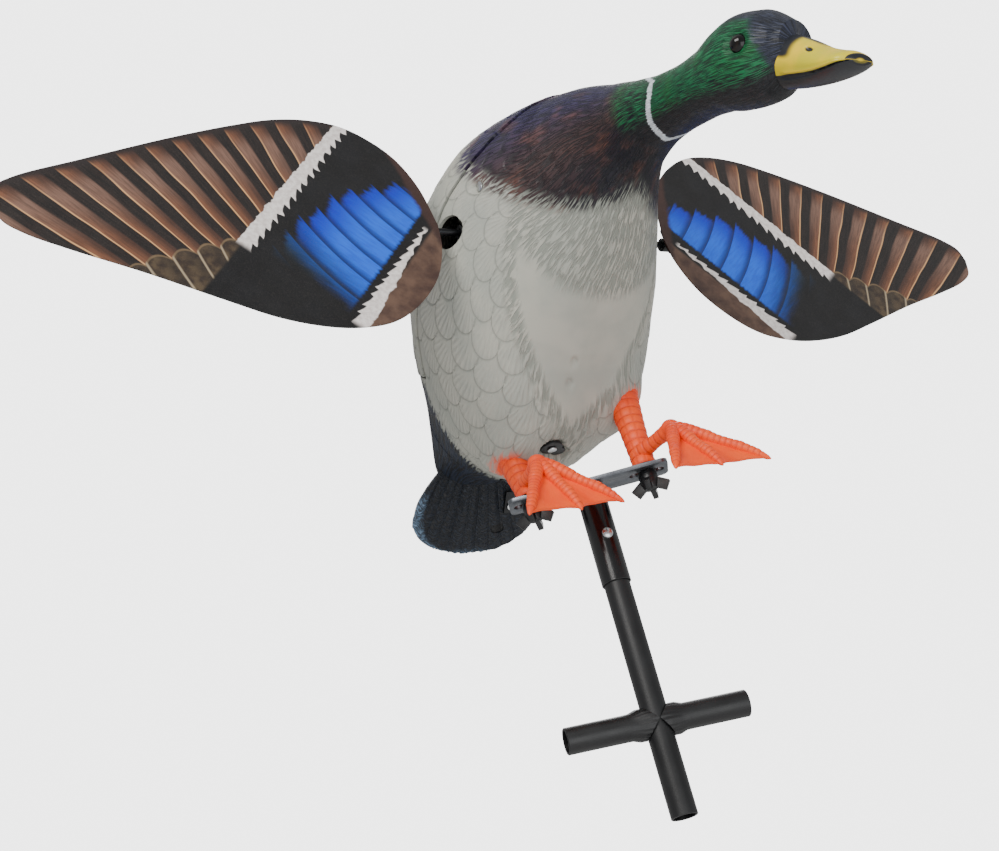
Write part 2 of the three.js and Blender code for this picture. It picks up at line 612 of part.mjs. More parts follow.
// ---- drive inside the body -------------------------------------------------
function makeDrive() {
  const floorLow = -39;
  const floorTop = -36;
  const floorOutline = new THREE.Shape([[-26, -66], [26, -66], [50, -38], [50, 88], [-50, 88], [-50, -38]]
    .map(([x, y]) => new THREE.Vector2(x, y)));
  const floorDepth = { depth: floorTop - floorLow, bevelEnabled: false };
  const floorPlate = new THREE.ExtrudeGeometry(floorOutline, floorDepth);
  const floor = solidOf(floorPlate.translate(0, 0, floorLow));
  // A block between two distances from the middle of the body, on the side of `x`.
  const sideBlock = (x, near, far, front, back, low, high) => (x > 0
    ? block([near, front, low], [far, back, high])
    : block([-far, front, low], [-near, back, high]));
  const ears = sides.map(({ x }) => sideBlock(x, 49.5, 53, -38, 14, floorLow, 32));
  const cradles = sides.map(({ x }) => sideBlock(x, 8, 20, -15, 15, floorTop - 1, -6));
  const boardPost = (x, y) => bar(5, 'z', floorTop - 1, -31.3, [x, y, 0], 12);
  const posts = [-17, 17].flatMap((x) => [-57, -39].map((y) => boardPost(x, y)));
  const strapSlots = sides.map(({ x }) => sideBlock(x, 31.9, 34.5, 42.5, 55.5, -45, -30));
  const bushHole = bar(12, 'x', -60, 60);
  const screwHole = bar(4, 'x', -60, 60, flankScrewAt, 16);
  const motorRoom = bar(motorDiameter + 2 * gap, 'x', -30, 30);
  const frame = join(floor, ...ears, ...cradles, ...posts);
  place(bird, 'motor_frame', cut(frame, ...strapSlots, bushHole, screwHole, motorRoom), 'blackPlastic');

  const half = motorLength / 2;
  const bore = shaftDiameter + 2 * runningFit;
  place(bird, 'motor_can', pipe(motorDiameter, bore, 'x', -half, half), 'steel');
  place(bird, 'motor_strap', pipe(motorDiameter + 4, motorDiameter + 2 * gap, 'x', -6, 6), 'grey');
  for (const side of sides) {
    const low = side.x > 0 ? half + gap : -half - gap - 4;
    const endBell = pipe(motorDiameter - 2, bore, 'x', low, low + 4);
    place(bird, `${side.name}_motor_end_bell`, endBell, 'blackPlastic');
    const inner = side.x > 0 ? 49 : -78;
    const flange = side.x > 0 ? 53.3 : -55;
    place(bird, `${side.name}_shaft_bush`, join(pipe(11.4, bore, 'x', inner, inner + 29),
      pipe(15, bore, 'x', flange, flange + 1.7)), 'blackPlastic');
  }

  place(bird, 'battery_pack', block([-batterySize.x / 2, 34, floorTop + gap],
    [batterySize.x / 2, 34 + batterySize.y, floorTop + gap + batterySize.z]), 'battery');
  const strapInner = block([-batterySize.x / 2 - gap, 40, floorLow - gap],
    [batterySize.x / 2 + gap, 60, floorTop + 2 * gap + batterySize.z]);
  const strapOuter = block([-batterySize.x / 2 - 2, 43, floorLow - 2],
    [batterySize.x / 2 + 2, 55, floorTop + 2 + batterySize.z + gap]);
  const strap = cut(strapOuter, strapInner);
  place(bird, 'battery_strap', strap, 'grey');
  const board = join(
    block([-22, -62, -31], [22, -34, -29.4]),
    block([-8, -54, -29.5], [8, -42, -26.5]),
    block([12, -58, -29.5], [18, -40, -25]),
    bar(6, 'z', -29.5, -22, [-15, -50, 0], 16),
  );
  place(bird, 'control_board', board, 'board');
}

// ---- wings -----------------------------------------------------------------
// The outline of a wing plate, as shares of its length and of its depth from the shaft line.
const wingOutline = [
  [0.0, 0.0], [0.02, 0.19], [0.06, 0.33], [0.115, 0.42], [0.175, 0.475], [0.25, 0.495], [0.34, 0.482],
  [0.44, 0.435], [0.6, 0.34], [0.8, 0.205], [0.95, 0.1], [0.99, 0.05], [1.0, -0.015], [0.985, -0.095],
  [0.945, -0.145], [0.86, -0.205], [0.71, -0.295], [0.555, -0.4], [0.445, -0.47], [0.35, -0.502],
  [0.27, -0.505], [0.185, -0.475], [0.115, -0.4], [0.045, -0.265], [0.008, -0.11],
];

function makeWings() {
  const rotor = new THREE.Group();
  rotor.rotation.x = wingTilt;
  bird.add(rotor);
  place(rotor, 'wing_shaft', bar(shaftDiameter, 'x', -shaftLength / 2, shaftLength / 2), 'steel');
  const tube = shaftDiameter + 5.4;
  const back = -tube / 2 - gap;
  for (const side of sides) {
    const along = (from, to) => (side.x > 0 ? [from, to] : [-to, -from]);
    const magnetStart = shaftLength / 2 + gap;
    const shaftMagnet = bar(4.6, 'x', ...along(magnetStart, magnetStart + 3));
    place(rotor, `${side.name}_shaft_magnet`, shaftMagnet, 'steel');
    const [low, high] = along(wingRoot + 1, wingRoot + 1 + socketLength);
    const socket = cut(
      join(
        bar(tube, 'x', low, high),
        block([low + 1, -tube / 2, -11], [high - 1, -tube / 2 + 1.7, 11]),
      ),
      bar(shaftDiameter + 2 * gap, 'x', ...along(wingRoot - 5, wingRoot + socketLength - 5)),
    );
    place(rotor, `${side.name}_wing_socket`, socket, 'blackPlastic');
    const wingMagnet = bar(5, 'x', ...along(magnetStart + 3.8, magnetStart + 7.6));
    place(rotor, `${side.name}_wing_magnet`, wingMagnet, 'steel');
    const reach = (share) => side.x * (wingRoot + share * wingLength);
    const points = wingOutline.map(([u, v]) => new THREE.Vector2(reach(u), v * wingDepth));
    const edge = new THREE.SplineCurve([...points, points[0]]).getPoints(52).slice(0, -1);
    const outline = new THREE.Shape(edge);
    const plate = new THREE.ExtrudeGeometry(outline, { depth: wingThickness, bevelEnabled: false });
    // The outline stands in the XZ plane and the plate's back faces the socket.
    plate.rotateX(Math.PI / 2).translate(0, back, 0);
    place(rotor, `${side.name}_wing`, solidOf(plate), 'print');
  }
}

makePost();
makeSnapButton();
makeBracket();
makeKnobs();
makeLegs();
makeFeet();
makeShell();
makeTrim();
makeTail();
makeDrive();
makeWings();

export default group;
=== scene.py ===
import json
import math

import bmesh
import bpy
import numpy as np
from mathutils import Matrix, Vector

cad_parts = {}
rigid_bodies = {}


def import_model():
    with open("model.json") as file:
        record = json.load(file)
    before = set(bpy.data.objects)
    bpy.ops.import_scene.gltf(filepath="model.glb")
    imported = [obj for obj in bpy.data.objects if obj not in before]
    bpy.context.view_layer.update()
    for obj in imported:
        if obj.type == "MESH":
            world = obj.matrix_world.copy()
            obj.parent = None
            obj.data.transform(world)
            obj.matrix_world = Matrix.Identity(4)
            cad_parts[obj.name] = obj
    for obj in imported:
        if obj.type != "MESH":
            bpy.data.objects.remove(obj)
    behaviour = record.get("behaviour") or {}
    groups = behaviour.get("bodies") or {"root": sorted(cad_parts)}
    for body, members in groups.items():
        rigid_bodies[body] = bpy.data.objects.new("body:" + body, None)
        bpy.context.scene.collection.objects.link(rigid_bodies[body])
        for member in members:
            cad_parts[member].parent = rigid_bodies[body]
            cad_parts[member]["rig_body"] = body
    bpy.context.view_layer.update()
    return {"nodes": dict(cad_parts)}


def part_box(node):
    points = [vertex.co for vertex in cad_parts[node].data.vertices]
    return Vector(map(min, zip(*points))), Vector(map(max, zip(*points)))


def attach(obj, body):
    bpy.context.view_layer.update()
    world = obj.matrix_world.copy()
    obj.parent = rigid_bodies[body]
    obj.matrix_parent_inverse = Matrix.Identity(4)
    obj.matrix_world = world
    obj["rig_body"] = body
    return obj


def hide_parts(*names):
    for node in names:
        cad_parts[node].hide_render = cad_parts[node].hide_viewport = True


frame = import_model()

# ---- camera, stage and light -------------------------------------------------------------
# The camera stands low in front of the bird's right side and looks up at its belly. The floor
# is a pale sheet well below the post, under a soft sky and three large soft lamps.
camera = bpy.data.objects.new("camera", bpy.data.cameras.new("camera"))
camera.data.lens = 61.26
camera.data.sensor_width = 36.0
camera.data.clip_end = 50.0
camera.matrix_world = Matrix((
    (0.87181, 0.00201, -0.48985, -0.6551),
    (-0.42814, -0.48275, -0.76397, -0.9286),
    (-0.23801, 0.87576, -0.42000, -0.2155),
    (0.0, 0.0, 0.0, 1.0),
))
bpy.context.scene.collection.objects.link(camera)
bpy.context.scene.camera = camera


def srgb(red, green, blue):
    """A screen colour in 0 to 255 as the linear colour with full cover that a shader takes."""
    share = np.array([red, green, blue]) / 255
    linear = np.where(share <= 0.04045, share / 12.92, ((share + 0.055) / 1.055) ** 2.4)
    return (*linear.tolist(), 1.0)


def lamp(name, place, aim, size, power, tint):
    """A square soft lamp at place that faces aim."""
    light = bpy.data.lights.new(name, "AREA")
    light.size = size
    light.energy = power
    light.color = srgb(*tint)[:3]
    holder = bpy.data.objects.new(name, light)
    back = np.array(place) - np.array(aim)
    back /= np.linalg.norm(back)
    side = np.cross((0, 0, 1), back)
    side /= np.linalg.norm(side)
    up = np.cross(back, side)
    holder.matrix_world = Matrix((
        (side[0], up[0], back[0], place[0]),
        (side[1], up[1], back[1], place[1]),
        (side[2], up[2], back[2], place[2]),
        (0, 0, 0, 1),
    ))
    bpy.context.scene.collection.objects.link(holder)


lamp("key_lamp", (-1.5, -1.3, 1.5), (0, -0.1, 0.35), 1.1, 46, (255, 253, 250))
lamp("low_fill_lamp", (-0.3, -1.7, -0.5), (0, -0.1, 0.3), 1.4, 15, (252, 254, 255))
lamp("back_lamp", (0.9, 1.2, 1.4), (0, 0, 0.4), 1.2, 16, (255, 255, 255))

SKY_LIGHT = 0.62
SKY_SEEN = 4.0
world = bpy.data.worlds.new("pale_sky")
world.use_nodes = True
world.node_tree.nodes["Background"].inputs["Color"].default_value = srgb(252, 252, 252)
seen = world.node_tree.nodes.new("ShaderNodeLightPath").outputs["Is Camera Ray"]
glow = world.node_tree.nodes.new("ShaderNodeMapRange")
glow.inputs["To Min"].default_value = SKY_LIGHT
glow.inputs["To Max"].default_value = SKY_SEEN
world.node_tree.links.new(seen, glow.inputs["Value"])
world.node_tree.links.new(glow.outputs[0], world.node_tree.nodes["Background"].inputs["Strength"])
bpy.context.scene.world = world

floor_mesh = bpy.data.meshes.new("floor")
floor_mesh.from_pydata([(-9, -9, -1), (9, -9, -1), (9, 9, -1), (-9, 9, -1)], [], [(0, 1, 2, 3)])
floor = bpy.data.objects.new("floor", floor_mesh)
bpy.context.scene.collection.objects.link(floor)
floor_paint = bpy.data.materials.new("pale_floor")
floor_paint.use_nodes = True
floor_shader = floor_paint.node_tree.nodes["Principled BSDF"]
floor_shader.inputs["Base Color"].default_value = srgb(245, 245, 245)
floor_shader.inputs["Roughness"].default_value = 0.9
floor_mesh.materials.append(floor_paint)

# ---- body shell --------------------------------------------------------------------------
# The hollow body is blow-moulded in one piece with the neck and open at the back. Its skin
# carries cut feather outlines on the flanks and long hair-like strokes on belly and breast,
# and is sprayed in soft-edged colours: grey flanks, a dark breast, a white collar, a navy rump.
SHAFT = np.array([0.0, -0.044, 0.43])  # middle of the wing shaft
BODY_SECTIONS = np.array([  # back, height, half width, half height in mm, lean in radians
    [200, -97, 28, 8, 0], [190, -92, 35, 17, 0], [170, -82, 44, 33, 0], [140, -69, 58, 61, 0],
    [100, -51, 80, 94, 0], [50, -26, 96, 112, 0], [0, -1, 87, 99, 0], [-50, 8, 63, 78, 0],
    [-95, 10, 39, 55, 0], [-125, 6, 28, 36, 0.1], [-150, -1, 27, 25, 0.25],
    [-175, -11, 26, 20, 0.37], [-200, -21, 26, 19, 0.37], [-225, -30.5, 27, 22, 0.37],
    [-240, -35, 28.5, 27.5, 0.4], [-253, -40, 28.5, 30, 0.4], [-272, -50.5, 24, 28.5, 0.4],
    [-292, -60, 13, 16, 0.4],
])
SEAM_BACK = [-90.0, -30.0, 0.0, 92.0, 151.0]  # the back cover's seam seen from the side
SEAM_HEIGHT = [88.0, 48.0, 22.0, -68.0, -21.5]
SEAM_GAP = 2.2
WALL = 2.5
SHAFT_HOLE = 12.5
LEG_TOPS = {"right": (-29, 87, -140), "left": (48, 38, -115)}
DRAINS = [(-8, 6), (-8, 19)]
BUTTON_AT = np.array([0.0, 138.0, -130.5])  # middle of the switch button's pocket
BUTTON_TILT = 24.0
BUTTON_HOLE = 7.5


def spline(points, share):
    """Centripetal Catmull-Rom curve through the rows of points, the share 0 to 1 spread evenly
    over the rows: each step is a cubic whose end slopes come from the neighbours' distances."""
    padded = np.vstack([2 * points[0] - points[1], points, 2 * points[-1] - points[-2]])
    step = share * (len(points) - 1)
    index = np.clip(step.astype(int), 0, len(points) - 2)
    t = (step - index)[:, None]
    reach = np.sqrt(np.linalg.norm(np.diff(padded, axis=0), axis=1))[:, None]
    a, b, c, d = (padded[index + shift] for shift in range(4))
    ra, rb, rc = (reach[index + shift] for shift in range(3))
    leave = ((b - a) / ra - (c - a) / (ra + rb) + (c - b) / rb) * rb
    arrive = ((c - b) / rb - (d - b) / (rb + rc) + (d - c) / rc) * rb
    return b + leave * t + (3 * (c - b) - 2 * leave - arrive) * t**2 \
        + (2 * (b - c) + leave + arrive) * t**3


def section_at(back):
    """Middle height, half width, half height and lean of the body where its middle line is
    `back` mm behind the wing shaft."""
    share = np.linspace(0, 1, 3000)
    place = spline(BODY_SECTIONS[:, [0, 1, 4]], share)
    size = spline(np.c_[BODY_SECTIONS[:, 2:4], np.zeros(len(BODY_SECTIONS))], share)
    found = np.interp(-np.asarray(back, float), -place[:, 0], share)
    pick = [np.interp(found, share, column) for column in (place[:, 1], size[:, 0], size[:, 1],
                                                          place[:, 2])]
    return pick


def seam_angle(back, lift):
    """Angle over the horizontal at which the seam crosses the ring at `back`; a right angle
    where the ring is whole."""
    middle, _, half_height, _ = section_at(back)
    level = np.interp(back, SEAM_BACK, SEAM_HEIGHT) + lift
    rise = np.clip((level - middle) / half_height, -1, 1)
    return np.where((back > SEAM_BACK[0]) & (back <= SEAM_BACK[-1]), np.arcsin(rise), math.pi / 2)


def smooth(value, low, high):
    """0 below low, 1 above high, and an S-curve between."""
    t = np.clip((value - low) / (high - low), 0, 1)
    return t * t * (3 - 2 * t)


def lapped(across, along, width, row):
    """Height 0 to 1 of overlapping round-ended feathers: rows `row` long, each shifted half a
    `width` from the last, a feather rising towards its tip and ending in a step."""
    a = along / row + 0.18 * np.sin(across * 0.09)
    b = across / width + 0.12 * np.sin(along * 0.07)
    rank = np.floor(a)
    inside = a - rank
    column = np.mod(b + 0.5 * np.mod(rank - 1, 2), 1) - 0.5
    past = inside - 0.62 * np.sqrt(np.maximum(1 - 4 * column**2, 0))
    return np.where(past > 0, inside, inside + 1) / 1.62


def body_surface(back, angle, keel, proud=0.0):
    """Points of the skin in metres, with the marks that its paint needs. A ring is an ellipse
    leaning with the neck, and the relief moves each point along the ring's own normal. keel
    is the angle at which the ring passes the keel, where the lay's first coordinate is 0."""
    middle, half_width, half_height, lean = section_at(back)
    turn = np.degrees(np.abs(np.mod(angle + math.pi / 2, 2 * math.pi) - math.pi))
    turn = 180 - turn  # 0 at the keel, 180 along the back
    side, rise = np.cos(angle), np.sin(angle)
    x = half_width * side
    y = back - half_height * rise * np.sin(lean)
    z = middle + half_height * rise * np.cos(lean)
    normal = np.stack([side / half_width, -rise * np.sin(lean) / half_height,
                       rise * np.cos(lean) / half_height], -1)
    normal /= np.linalg.norm(normal, axis=-1, keepdims=True)

    around = np.radians(turn) * 60
    edge = np.clip(50 - (back + 12) * 0.74, 9, 84)  # where flank feathers give way to the belly
    scales = smooth(turn, edge - 3, edge + 3) * smooth(back, -66, -48) \
        * (1 - smooth(back, 112, 140))
    panel = (1 - smooth(turn, edge - 13, edge - 7)) * smooth(back, -44, -32) \
        * (1 - smooth(back, 52, 68))
    relief = 0.75 * scales * (lapped(around, back, 15, 16) - 0.5)
    relief += 0.3 * (1 - scales) * (1 - panel) * np.sin(around * 1.3 + 2.2 * np.sin(back * 0.06)) \
        * smooth(half_width, 24, 60)
    relief += 0.9 * np.exp(-((turn - edge) / 4.5) ** 2) * smooth(back, -30, 0) \
        * (1 - smooth(back, 60, 90)) * np.sin(turn * 1.6 + 0.8 * np.sin(back * 0.2))
    relief += proud
    spray = np.zeros_like(x)
    for leg in LEG_TOPS.values():
        away = np.sqrt((x - leg[0]) ** 2 + ((y - leg[1]) / 1.25) ** 2 + (z - leg[2]) ** 2)
        relief += 6.5 * np.exp(-((away / 25) ** 4)) + 3.0 * np.exp(-((away / 42) ** 2))
        spray = np.maximum(spray, np.exp(-((away / 13.5) ** 3)))
    for drain in DRAINS:
        away = np.hypot(x - drain[0], y - drain[1])
        relief -= np.where(rise < 0, 2.6 * np.exp(-((away / 2.6) ** 4)), 0)
    points = np.stack([x, y, z], -1) + normal * relief[..., None]

    # the belly plate, the flank screws and the switch button sit in flat pockets
    away = np.minimum(np.hypot(points[..., 0] + 8, points[..., 1] - 64) - 8.5,
                      np.hypot(points[..., 0], points[..., 1] - 69) - 5.5)
    pocket = (1 - smooth(away, 0.5, 3.5)) * (rise < 0)
    points[..., 2] += pocket * (np.maximum(points[..., 2], -140.6) - points[..., 2])
    away = np.hypot(points[..., 1] + 30, points[..., 2] - 20)
    pocket = 1 - smooth(away, 4.6, 6.4)
    flat_x = np.sign(x) * np.minimum(np.abs(points[..., 0]), 69.3)
    points[..., 0] += pocket * (flat_x - points[..., 0])
    tilt = math.radians(BUTTON_TILT)
    dy, dz = points[..., 1] - BUTTON_AT[1], points[..., 2] - BUTTON_AT[2]
    flat_y = dy * math.cos(tilt) + dz * math.sin(tilt)
    flat_z = -dy * math.sin(tilt) + dz * math.cos(tilt)
    pocket = (np.hypot(points[..., 0], flat_y) < 11.4) & (np.abs(flat_z) < 8)
    flat_z = np.where(pocket, np.maximum(flat_z, 1.0), flat_z)
    points[..., 1] = BUTTON_AT[1] + flat_y * math.cos(tilt) - flat_z * math.sin(tilt)
    points[..., 2] = BUTTON_AT[2] + flat_y * math.sin(tilt) + flat_z * math.cos(tilt)

    # soft-edged paint
    breast = -112 + 92 * np.clip(turn / 115, 0, 1.05) ** 1.3
    dark = 1 - smooth(y, breast - 13, breast + 13)
    collar_line = np.interp(turn, [0, 45, 90, 120, 150, 180], [-156, -167, -183, -186, -173, -165])
    collar = np.exp(-(((y - collar_line) / 2.5) ** 4))
    green = smooth(turn, 38, 75) * (1 - smooth(y, -152, -136)) * (0.45 + 0.55 * smooth(
        -y, -collar_line - 3, -collar_line + 3))
    mask = np.maximum(smooth(-y, 277, 284), smooth(turn, 128, 150) * smooth(-y, 240, 262))
    rump_line = np.interp(turn, [0, 40, 90, 130, 180], [146, 127, 99, 106, 116])
    rump = smooth(y, rump_line - 13, rump_line + 13)
    marks = {
        "paint": np.stack([dark, green, collar], -1),
        "spots": np.stack([rump, spray, mask], -1),
        "form": np.stack([turn / 180, scales, panel], -1),
    }
    lay = np.stack([(angle - keel) * 60, back + 0 * x], -1)
    return points / 1000 + SHAFT, lay, marks


def grid_faces(rows, columns, wrap=False):
    """Corner numbers of a grid's cells; wrap joins the last column to the first."""
    row, column = np.meshgrid(np.arange(rows - 1), np.arange(columns - (not wrap)), indexing="ij")
    beside = (column + 1) % columns
    corners = [row * columns + column, row * columns + beside, (row + 1) * columns + beside,
               (row + 1) * columns + column]
    return np.stack(corners, -1).reshape(-1, 4)


def punch(flat, faces, start, end, radius):
    """Opens a round-ended slot in a sheet: drops the cells inside it and moves the corners
    left on its rim onto it. flat holds two coordinates per corner and is changed in place."""
    start, end = np.array(start, float), np.array(end, float)
    span = end - start
    share = np.clip((flat - start) @ span / max(span @ span, 1e-12), 0, 1)
    nearest = start + share[:, None] * span
    away = flat - nearest
    distance = np.linalg.norm(away, axis=1)
    gone = distance[faces].mean(1) < radius
    rim = np.intersect1d(faces[~gone], faces[gone])
    flat[rim] = nearest[rim] + away[rim] / distance[rim, None] * radius
    return faces[~gone]


def make_piece(name, points, faces, body, lay=None, marks=None, wall=None, offset=-1.0,
               sharp=40, outward=True):
    """A finished piece: coincident corners merged, faces turned outwards, the sheet given its
    wall where one is asked for, and shading kept crisp at edges over `sharp` degrees."""
    mesh = bpy.data.meshes.new(name)
    mesh.from_pydata(points.reshape(-1, 3).tolist(), [], faces.tolist())
    if lay is not None:
        corner = np.empty(len(mesh.loops), int)
        mesh.loops.foreach_get("vertex_index", corner)
        layer = mesh.uv_layers.new(name="lay")
        layer.data.foreach_set("uv", lay.reshape(-1, 2)[corner].ravel())
    for key, value in (marks or {}).items():
        layer = mesh.attributes.new(key, "FLOAT_VECTOR", "POINT")
        layer.data.foreach_set("vector", value.reshape(-1, 3).astype(np.float32).ravel())
    shape = bmesh.new()
    shape.from_mesh(mesh)
    bmesh.ops.remove_doubles(shape, verts=shape.verts, dist=2e-6)
    loose = [vert for vert in shape.verts if not vert.link_faces]
    bmesh.ops.delete(shape, geom=loose, context="VERTS")
    if outward:
        bmesh.ops.recalc_face_normals(shape, faces=shape.faces)
    shape.to_mesh(mesh)
    shape.free()
    piece = bpy.data.objects.new(name, mesh)
    bpy.context.scene.collection.objects.link(piece)
    if wall:
        thicken = piece.modifiers.new("wall", "SOLIDIFY")
        thicken.thickness = wall
        thicken.offset = offset
        thicken.use_even_offset = False
        graph = bpy.context.evaluated_depsgraph_get()
        piece.data = bpy.data.meshes.new_from_object(piece.evaluated_get(graph))
        piece.modifiers.clear()
    piece.data.polygons.foreach_set("use_smooth", np.ones(len(piece.data.polygons), bool))
    piece.data.set_sharp_from_angle(angle=math.radians(sharp))
    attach(piece, body)
    return piece


class Wiring:
    """Short words for one node tree: each adds a node, feeds it and gives its output back."""

    def __init__(self, tree):
        self.tree = tree

    def feed(self, socket, value):
        if isinstance(value, bpy.types.NodeSocket):
            self.tree.links.new(value, socket)
        elif value is not None:
            socket.default_value = value

    def add(self, kind, *feeds, out=0, **settings):
        node = self.tree.nodes.new("ShaderNode" + kind)
        for key, value in settings.items():
            setattr(node, key, value)
        for socket, value in zip(node.inputs, feeds):
            self.feed(socket, value)
        return node.outputs[out]

    def math(self, operation, *feeds):
        return self.add("Math", *feeds, operation=operation)

    def step(self, value, low, high, first=0.0, last=1.0):
        return self.add("MapRange", value, low, high, first, last,
                        interpolation_type="SMOOTHSTEP")

    def blend(self, share, first, second, kind="MIX"):
        node = self.tree.nodes.new("ShaderNodeMix")
        node.data_type = "RGBA"
        node.blend_type = kind
        for index, value in ((0, share), (6, first), (7, second)):
            self.feed(node.inputs[index], value)
        return node.outputs[2]

    def noise(self, vector, scale, detail=2.0, roughness=0.5):
        node = self.tree.nodes.new("ShaderNodeTexNoise")
        for name, value in (("Vector", vector), ("Scale", scale), ("Detail", detail),
                            ("Roughness", roughness)):
            self.feed(node.inputs[name], value)
        return node.outputs[0]

    def mark(self, name):
        node = self.tree.nodes.new("ShaderNodeAttribute")
        node.attribute_name = name
        split = self.tree.nodes.new("ShaderNodeSeparateXYZ")
        self.tree.links.new(node.outputs["Vector"], split.inputs[0])
        return split.outputs

    def place(self):
        return self.add("TexCoord", out=3)

    def lay(self):
        return self.add("UVMap", uv_map="lay")

    def group(self, tree, **inputs):
        node = self.tree.nodes.new("ShaderNodeGroup")
        node.node_tree = tree
        for name, value in inputs.items():
            self.feed(node.inputs[name.replace("_", " ").capitalize()], value)
        return node.outputs

    def bump(self, height, distance, strength=1.0, under=None):
        node = self.tree.nodes.new("ShaderNodeBump")
        for name, value in (("Strength", strength), ("Distance", distance), ("Height", height),
                            ("Normal", under)):
            self.feed(node.inputs[name], value)
        return node.outputs[0]


def effect(name, inputs, outputs):
    """An empty shader node group with the named inputs (name, kind, value) and outputs."""
    tree = bpy.data.node_groups.new(name, "ShaderNodeTree")
    for label, kind, value in inputs:
        socket = tree.interface.new_socket(label, in_out="INPUT", socket_type="NodeSocket" + kind)
        if value is not None:
            socket.default_value = value
    for label in outputs:
        tree.interface.new_socket(label, in_out="OUTPUT", socket_type="NodeSocketFloat")
    entry = tree.nodes.new("NodeGroupInput")
    leave = tree.nodes.new("NodeGroupOutput")
    return tree, Wiring(tree), entry.outputs, leave.inputs


def new_finish(name, **plain):
    """A material, its wiring and its main shader, with plain values set on the shader."""
    material = bpy.data.materials.new(name)
    material.use_nodes = True
    shader = material.node_tree.nodes["Principled BSDF"]
    for key, value in plain.items():
        shader.inputs[key.replace("_", " ").title().replace("Ior", "IOR")].default_value = value
    return material, Wiring(material.node_tree), shader.inputs


# Hair-like strokes: noise drawn out along the feather direction and sharpened.
strokes_effect, w, given, result = effect(
    "feather strokes",
    [("Lay", "Vector", None), ("Width", "Float", 1.5), ("Length", "Float", 11.0)], ["Stroke"])
across, along, _ = w.tree.nodes.new("ShaderNodeSeparateXYZ").outputs
w.feed(across.node.inputs[0], given[0])
sway = w.math("MULTIPLY", w.math("SINE", w.math("MULTIPLY", along, 0.11)), 1.3)
flat = w.add("CombineXYZ", w.math("DIVIDE", w.math("ADD", across, sway), given[1]),
             w.math("DIVIDE", along, given[2]), 0.0)
w.feed(result[0], w.step(w.noise(flat, 1.0, 2.0, 0.5), 0.40, 0.58))

# Cut feather outlines: the same lapped rows that shape the skin, as a groove and its barbs.
feathers_effect, w, given, result = effect(
    "cut feathers", [("Lay", "Vector", None), ("Width", "Float", 15.0), ("Row", "Float", 16.0)],
    ["Groove", "Barbs"])
across, along, _ = w.tree.nodes.new("ShaderNodeSeparateXYZ").outputs
w.feed(across.node.inputs[0], given[0])
across = w.math("ABSOLUTE", w.math("SUBTRACT", w.math("ABSOLUTE", across), math.pi * 60))
across = w.math("SUBTRACT", math.pi * 60, across)
a = w.math("ADD", w.math("DIVIDE", along, given[2]),
           w.math("MULTIPLY", w.math("SINE", w.math("MULTIPLY", across, 0.09)), 0.18))
b = w.math("ADD", w.math("DIVIDE", across, given[1]),
           w.math("MULTIPLY", w.math("SINE", w.math("MULTIPLY", along, 0.07)), 0.12))
rank = w.math("FLOOR", a)
inside = w.math("SUBTRACT", a, rank)


def column_of(rank_socket):
    """Distance across the feather from its shaft, -0.5 to 0.5, in the row of that rank."""
    shift = w.math("MULTIPLY", w.math("FLOORED_MODULO", rank_socket, 2.0), 0.5)
    return w.math("SUBTRACT", w.math("FRACT", w.math("ADD", b, shift)), 0.5)


front = column_of(w.math("SUBTRACT", rank, 1.0))
own = column_of(rank)
bow = w.math("SUBTRACT", 1.0, w.math("MULTIPLY", w.math("MULTIPLY", front, front), 4.0))
tip = w.math("MULTIPLY", w.math("SQRT", w.math("MAXIMUM", bow, 0.0)), 0.62)
past = w.math("SUBTRACT", inside, tip)
is_own = w.math("GREATER_THAN", past, 0.0)
reach = w.math("ADD", w.math("SUBTRACT", inside, is_own), 1.0)
shaft = w.math("ADD", w.math("MULTIPLY", is_own, w.math("SUBTRACT", own, front)), front)
under_tip = w.math("MULTIPLY", w.step(past, 0.16, 0.0), is_own)
beside = w.math("MULTIPLY", w.step(w.math("ABSOLUTE", own), 0.44, 0.495), is_own)
w.feed(result[0], w.math("MAXIMUM", under_tip, w.math("MULTIPLY", beside, 0.7)))
fan = w.math("ARCTAN2", shaft, w.math("ADD", reach, 0.25))
barbs = w.math("ADD", w.math("MULTIPLY", w.math("SINE", w.math("MULTIPLY", fan, 62.0)), 0.5), 0.5)
w.feed(result[1], w.math("MULTIPLY", barbs, w.step(reach, 0.55, 1.1)))

# Fine moulding grain, the same in every direction.
grain_effect, w, given, result = effect(
    "moulding grain", [("Place", "Vector", None), ("Scale", "Float", 900.0)], ["Grain", "Cloud"])
w.feed(result[0], w.noise(given[0], given[1], 3.0, 0.6))
w.feed(result[1], w.noise(given[0], w.math("MULTIPLY", given[1], 0.03), 3.0, 0.55))

painted_skin, w, shader = new_finish("painted_skin", roughness=0.55, specular_ior_level=0.4)
lay = w.lay()
place = w.place()
dark, green, collar = w.mark("paint")
rump, spray, mask = w.mark("spots")
turn, scales, panel = w.mark("form")
stroke = w.group(strokes_effect, lay=lay, width=1.5, length=11.0)[0]
long_stroke = w.group(strokes_effect, lay=lay, width=2.6, length=24.0)[0]
groove, barbs = w.group(feathers_effect, lay=lay)
grain, cloud = w.group(grain_effect, place=place)
lift = w.math("SUBTRACT", stroke, 0.5)


def soft_edge(amount, reach):
    """The sprayed edge broken up by the strokes that it runs over."""
    moved = w.math("ADD", amount, w.math("MULTIPLY", lift, w.math("MULTIPLY", w.math(
        "MULTIPLY", amount, w.math("SUBTRACT", 1.0, amount)), reach)))
    return w.step(moved, 0.0, 1.0)


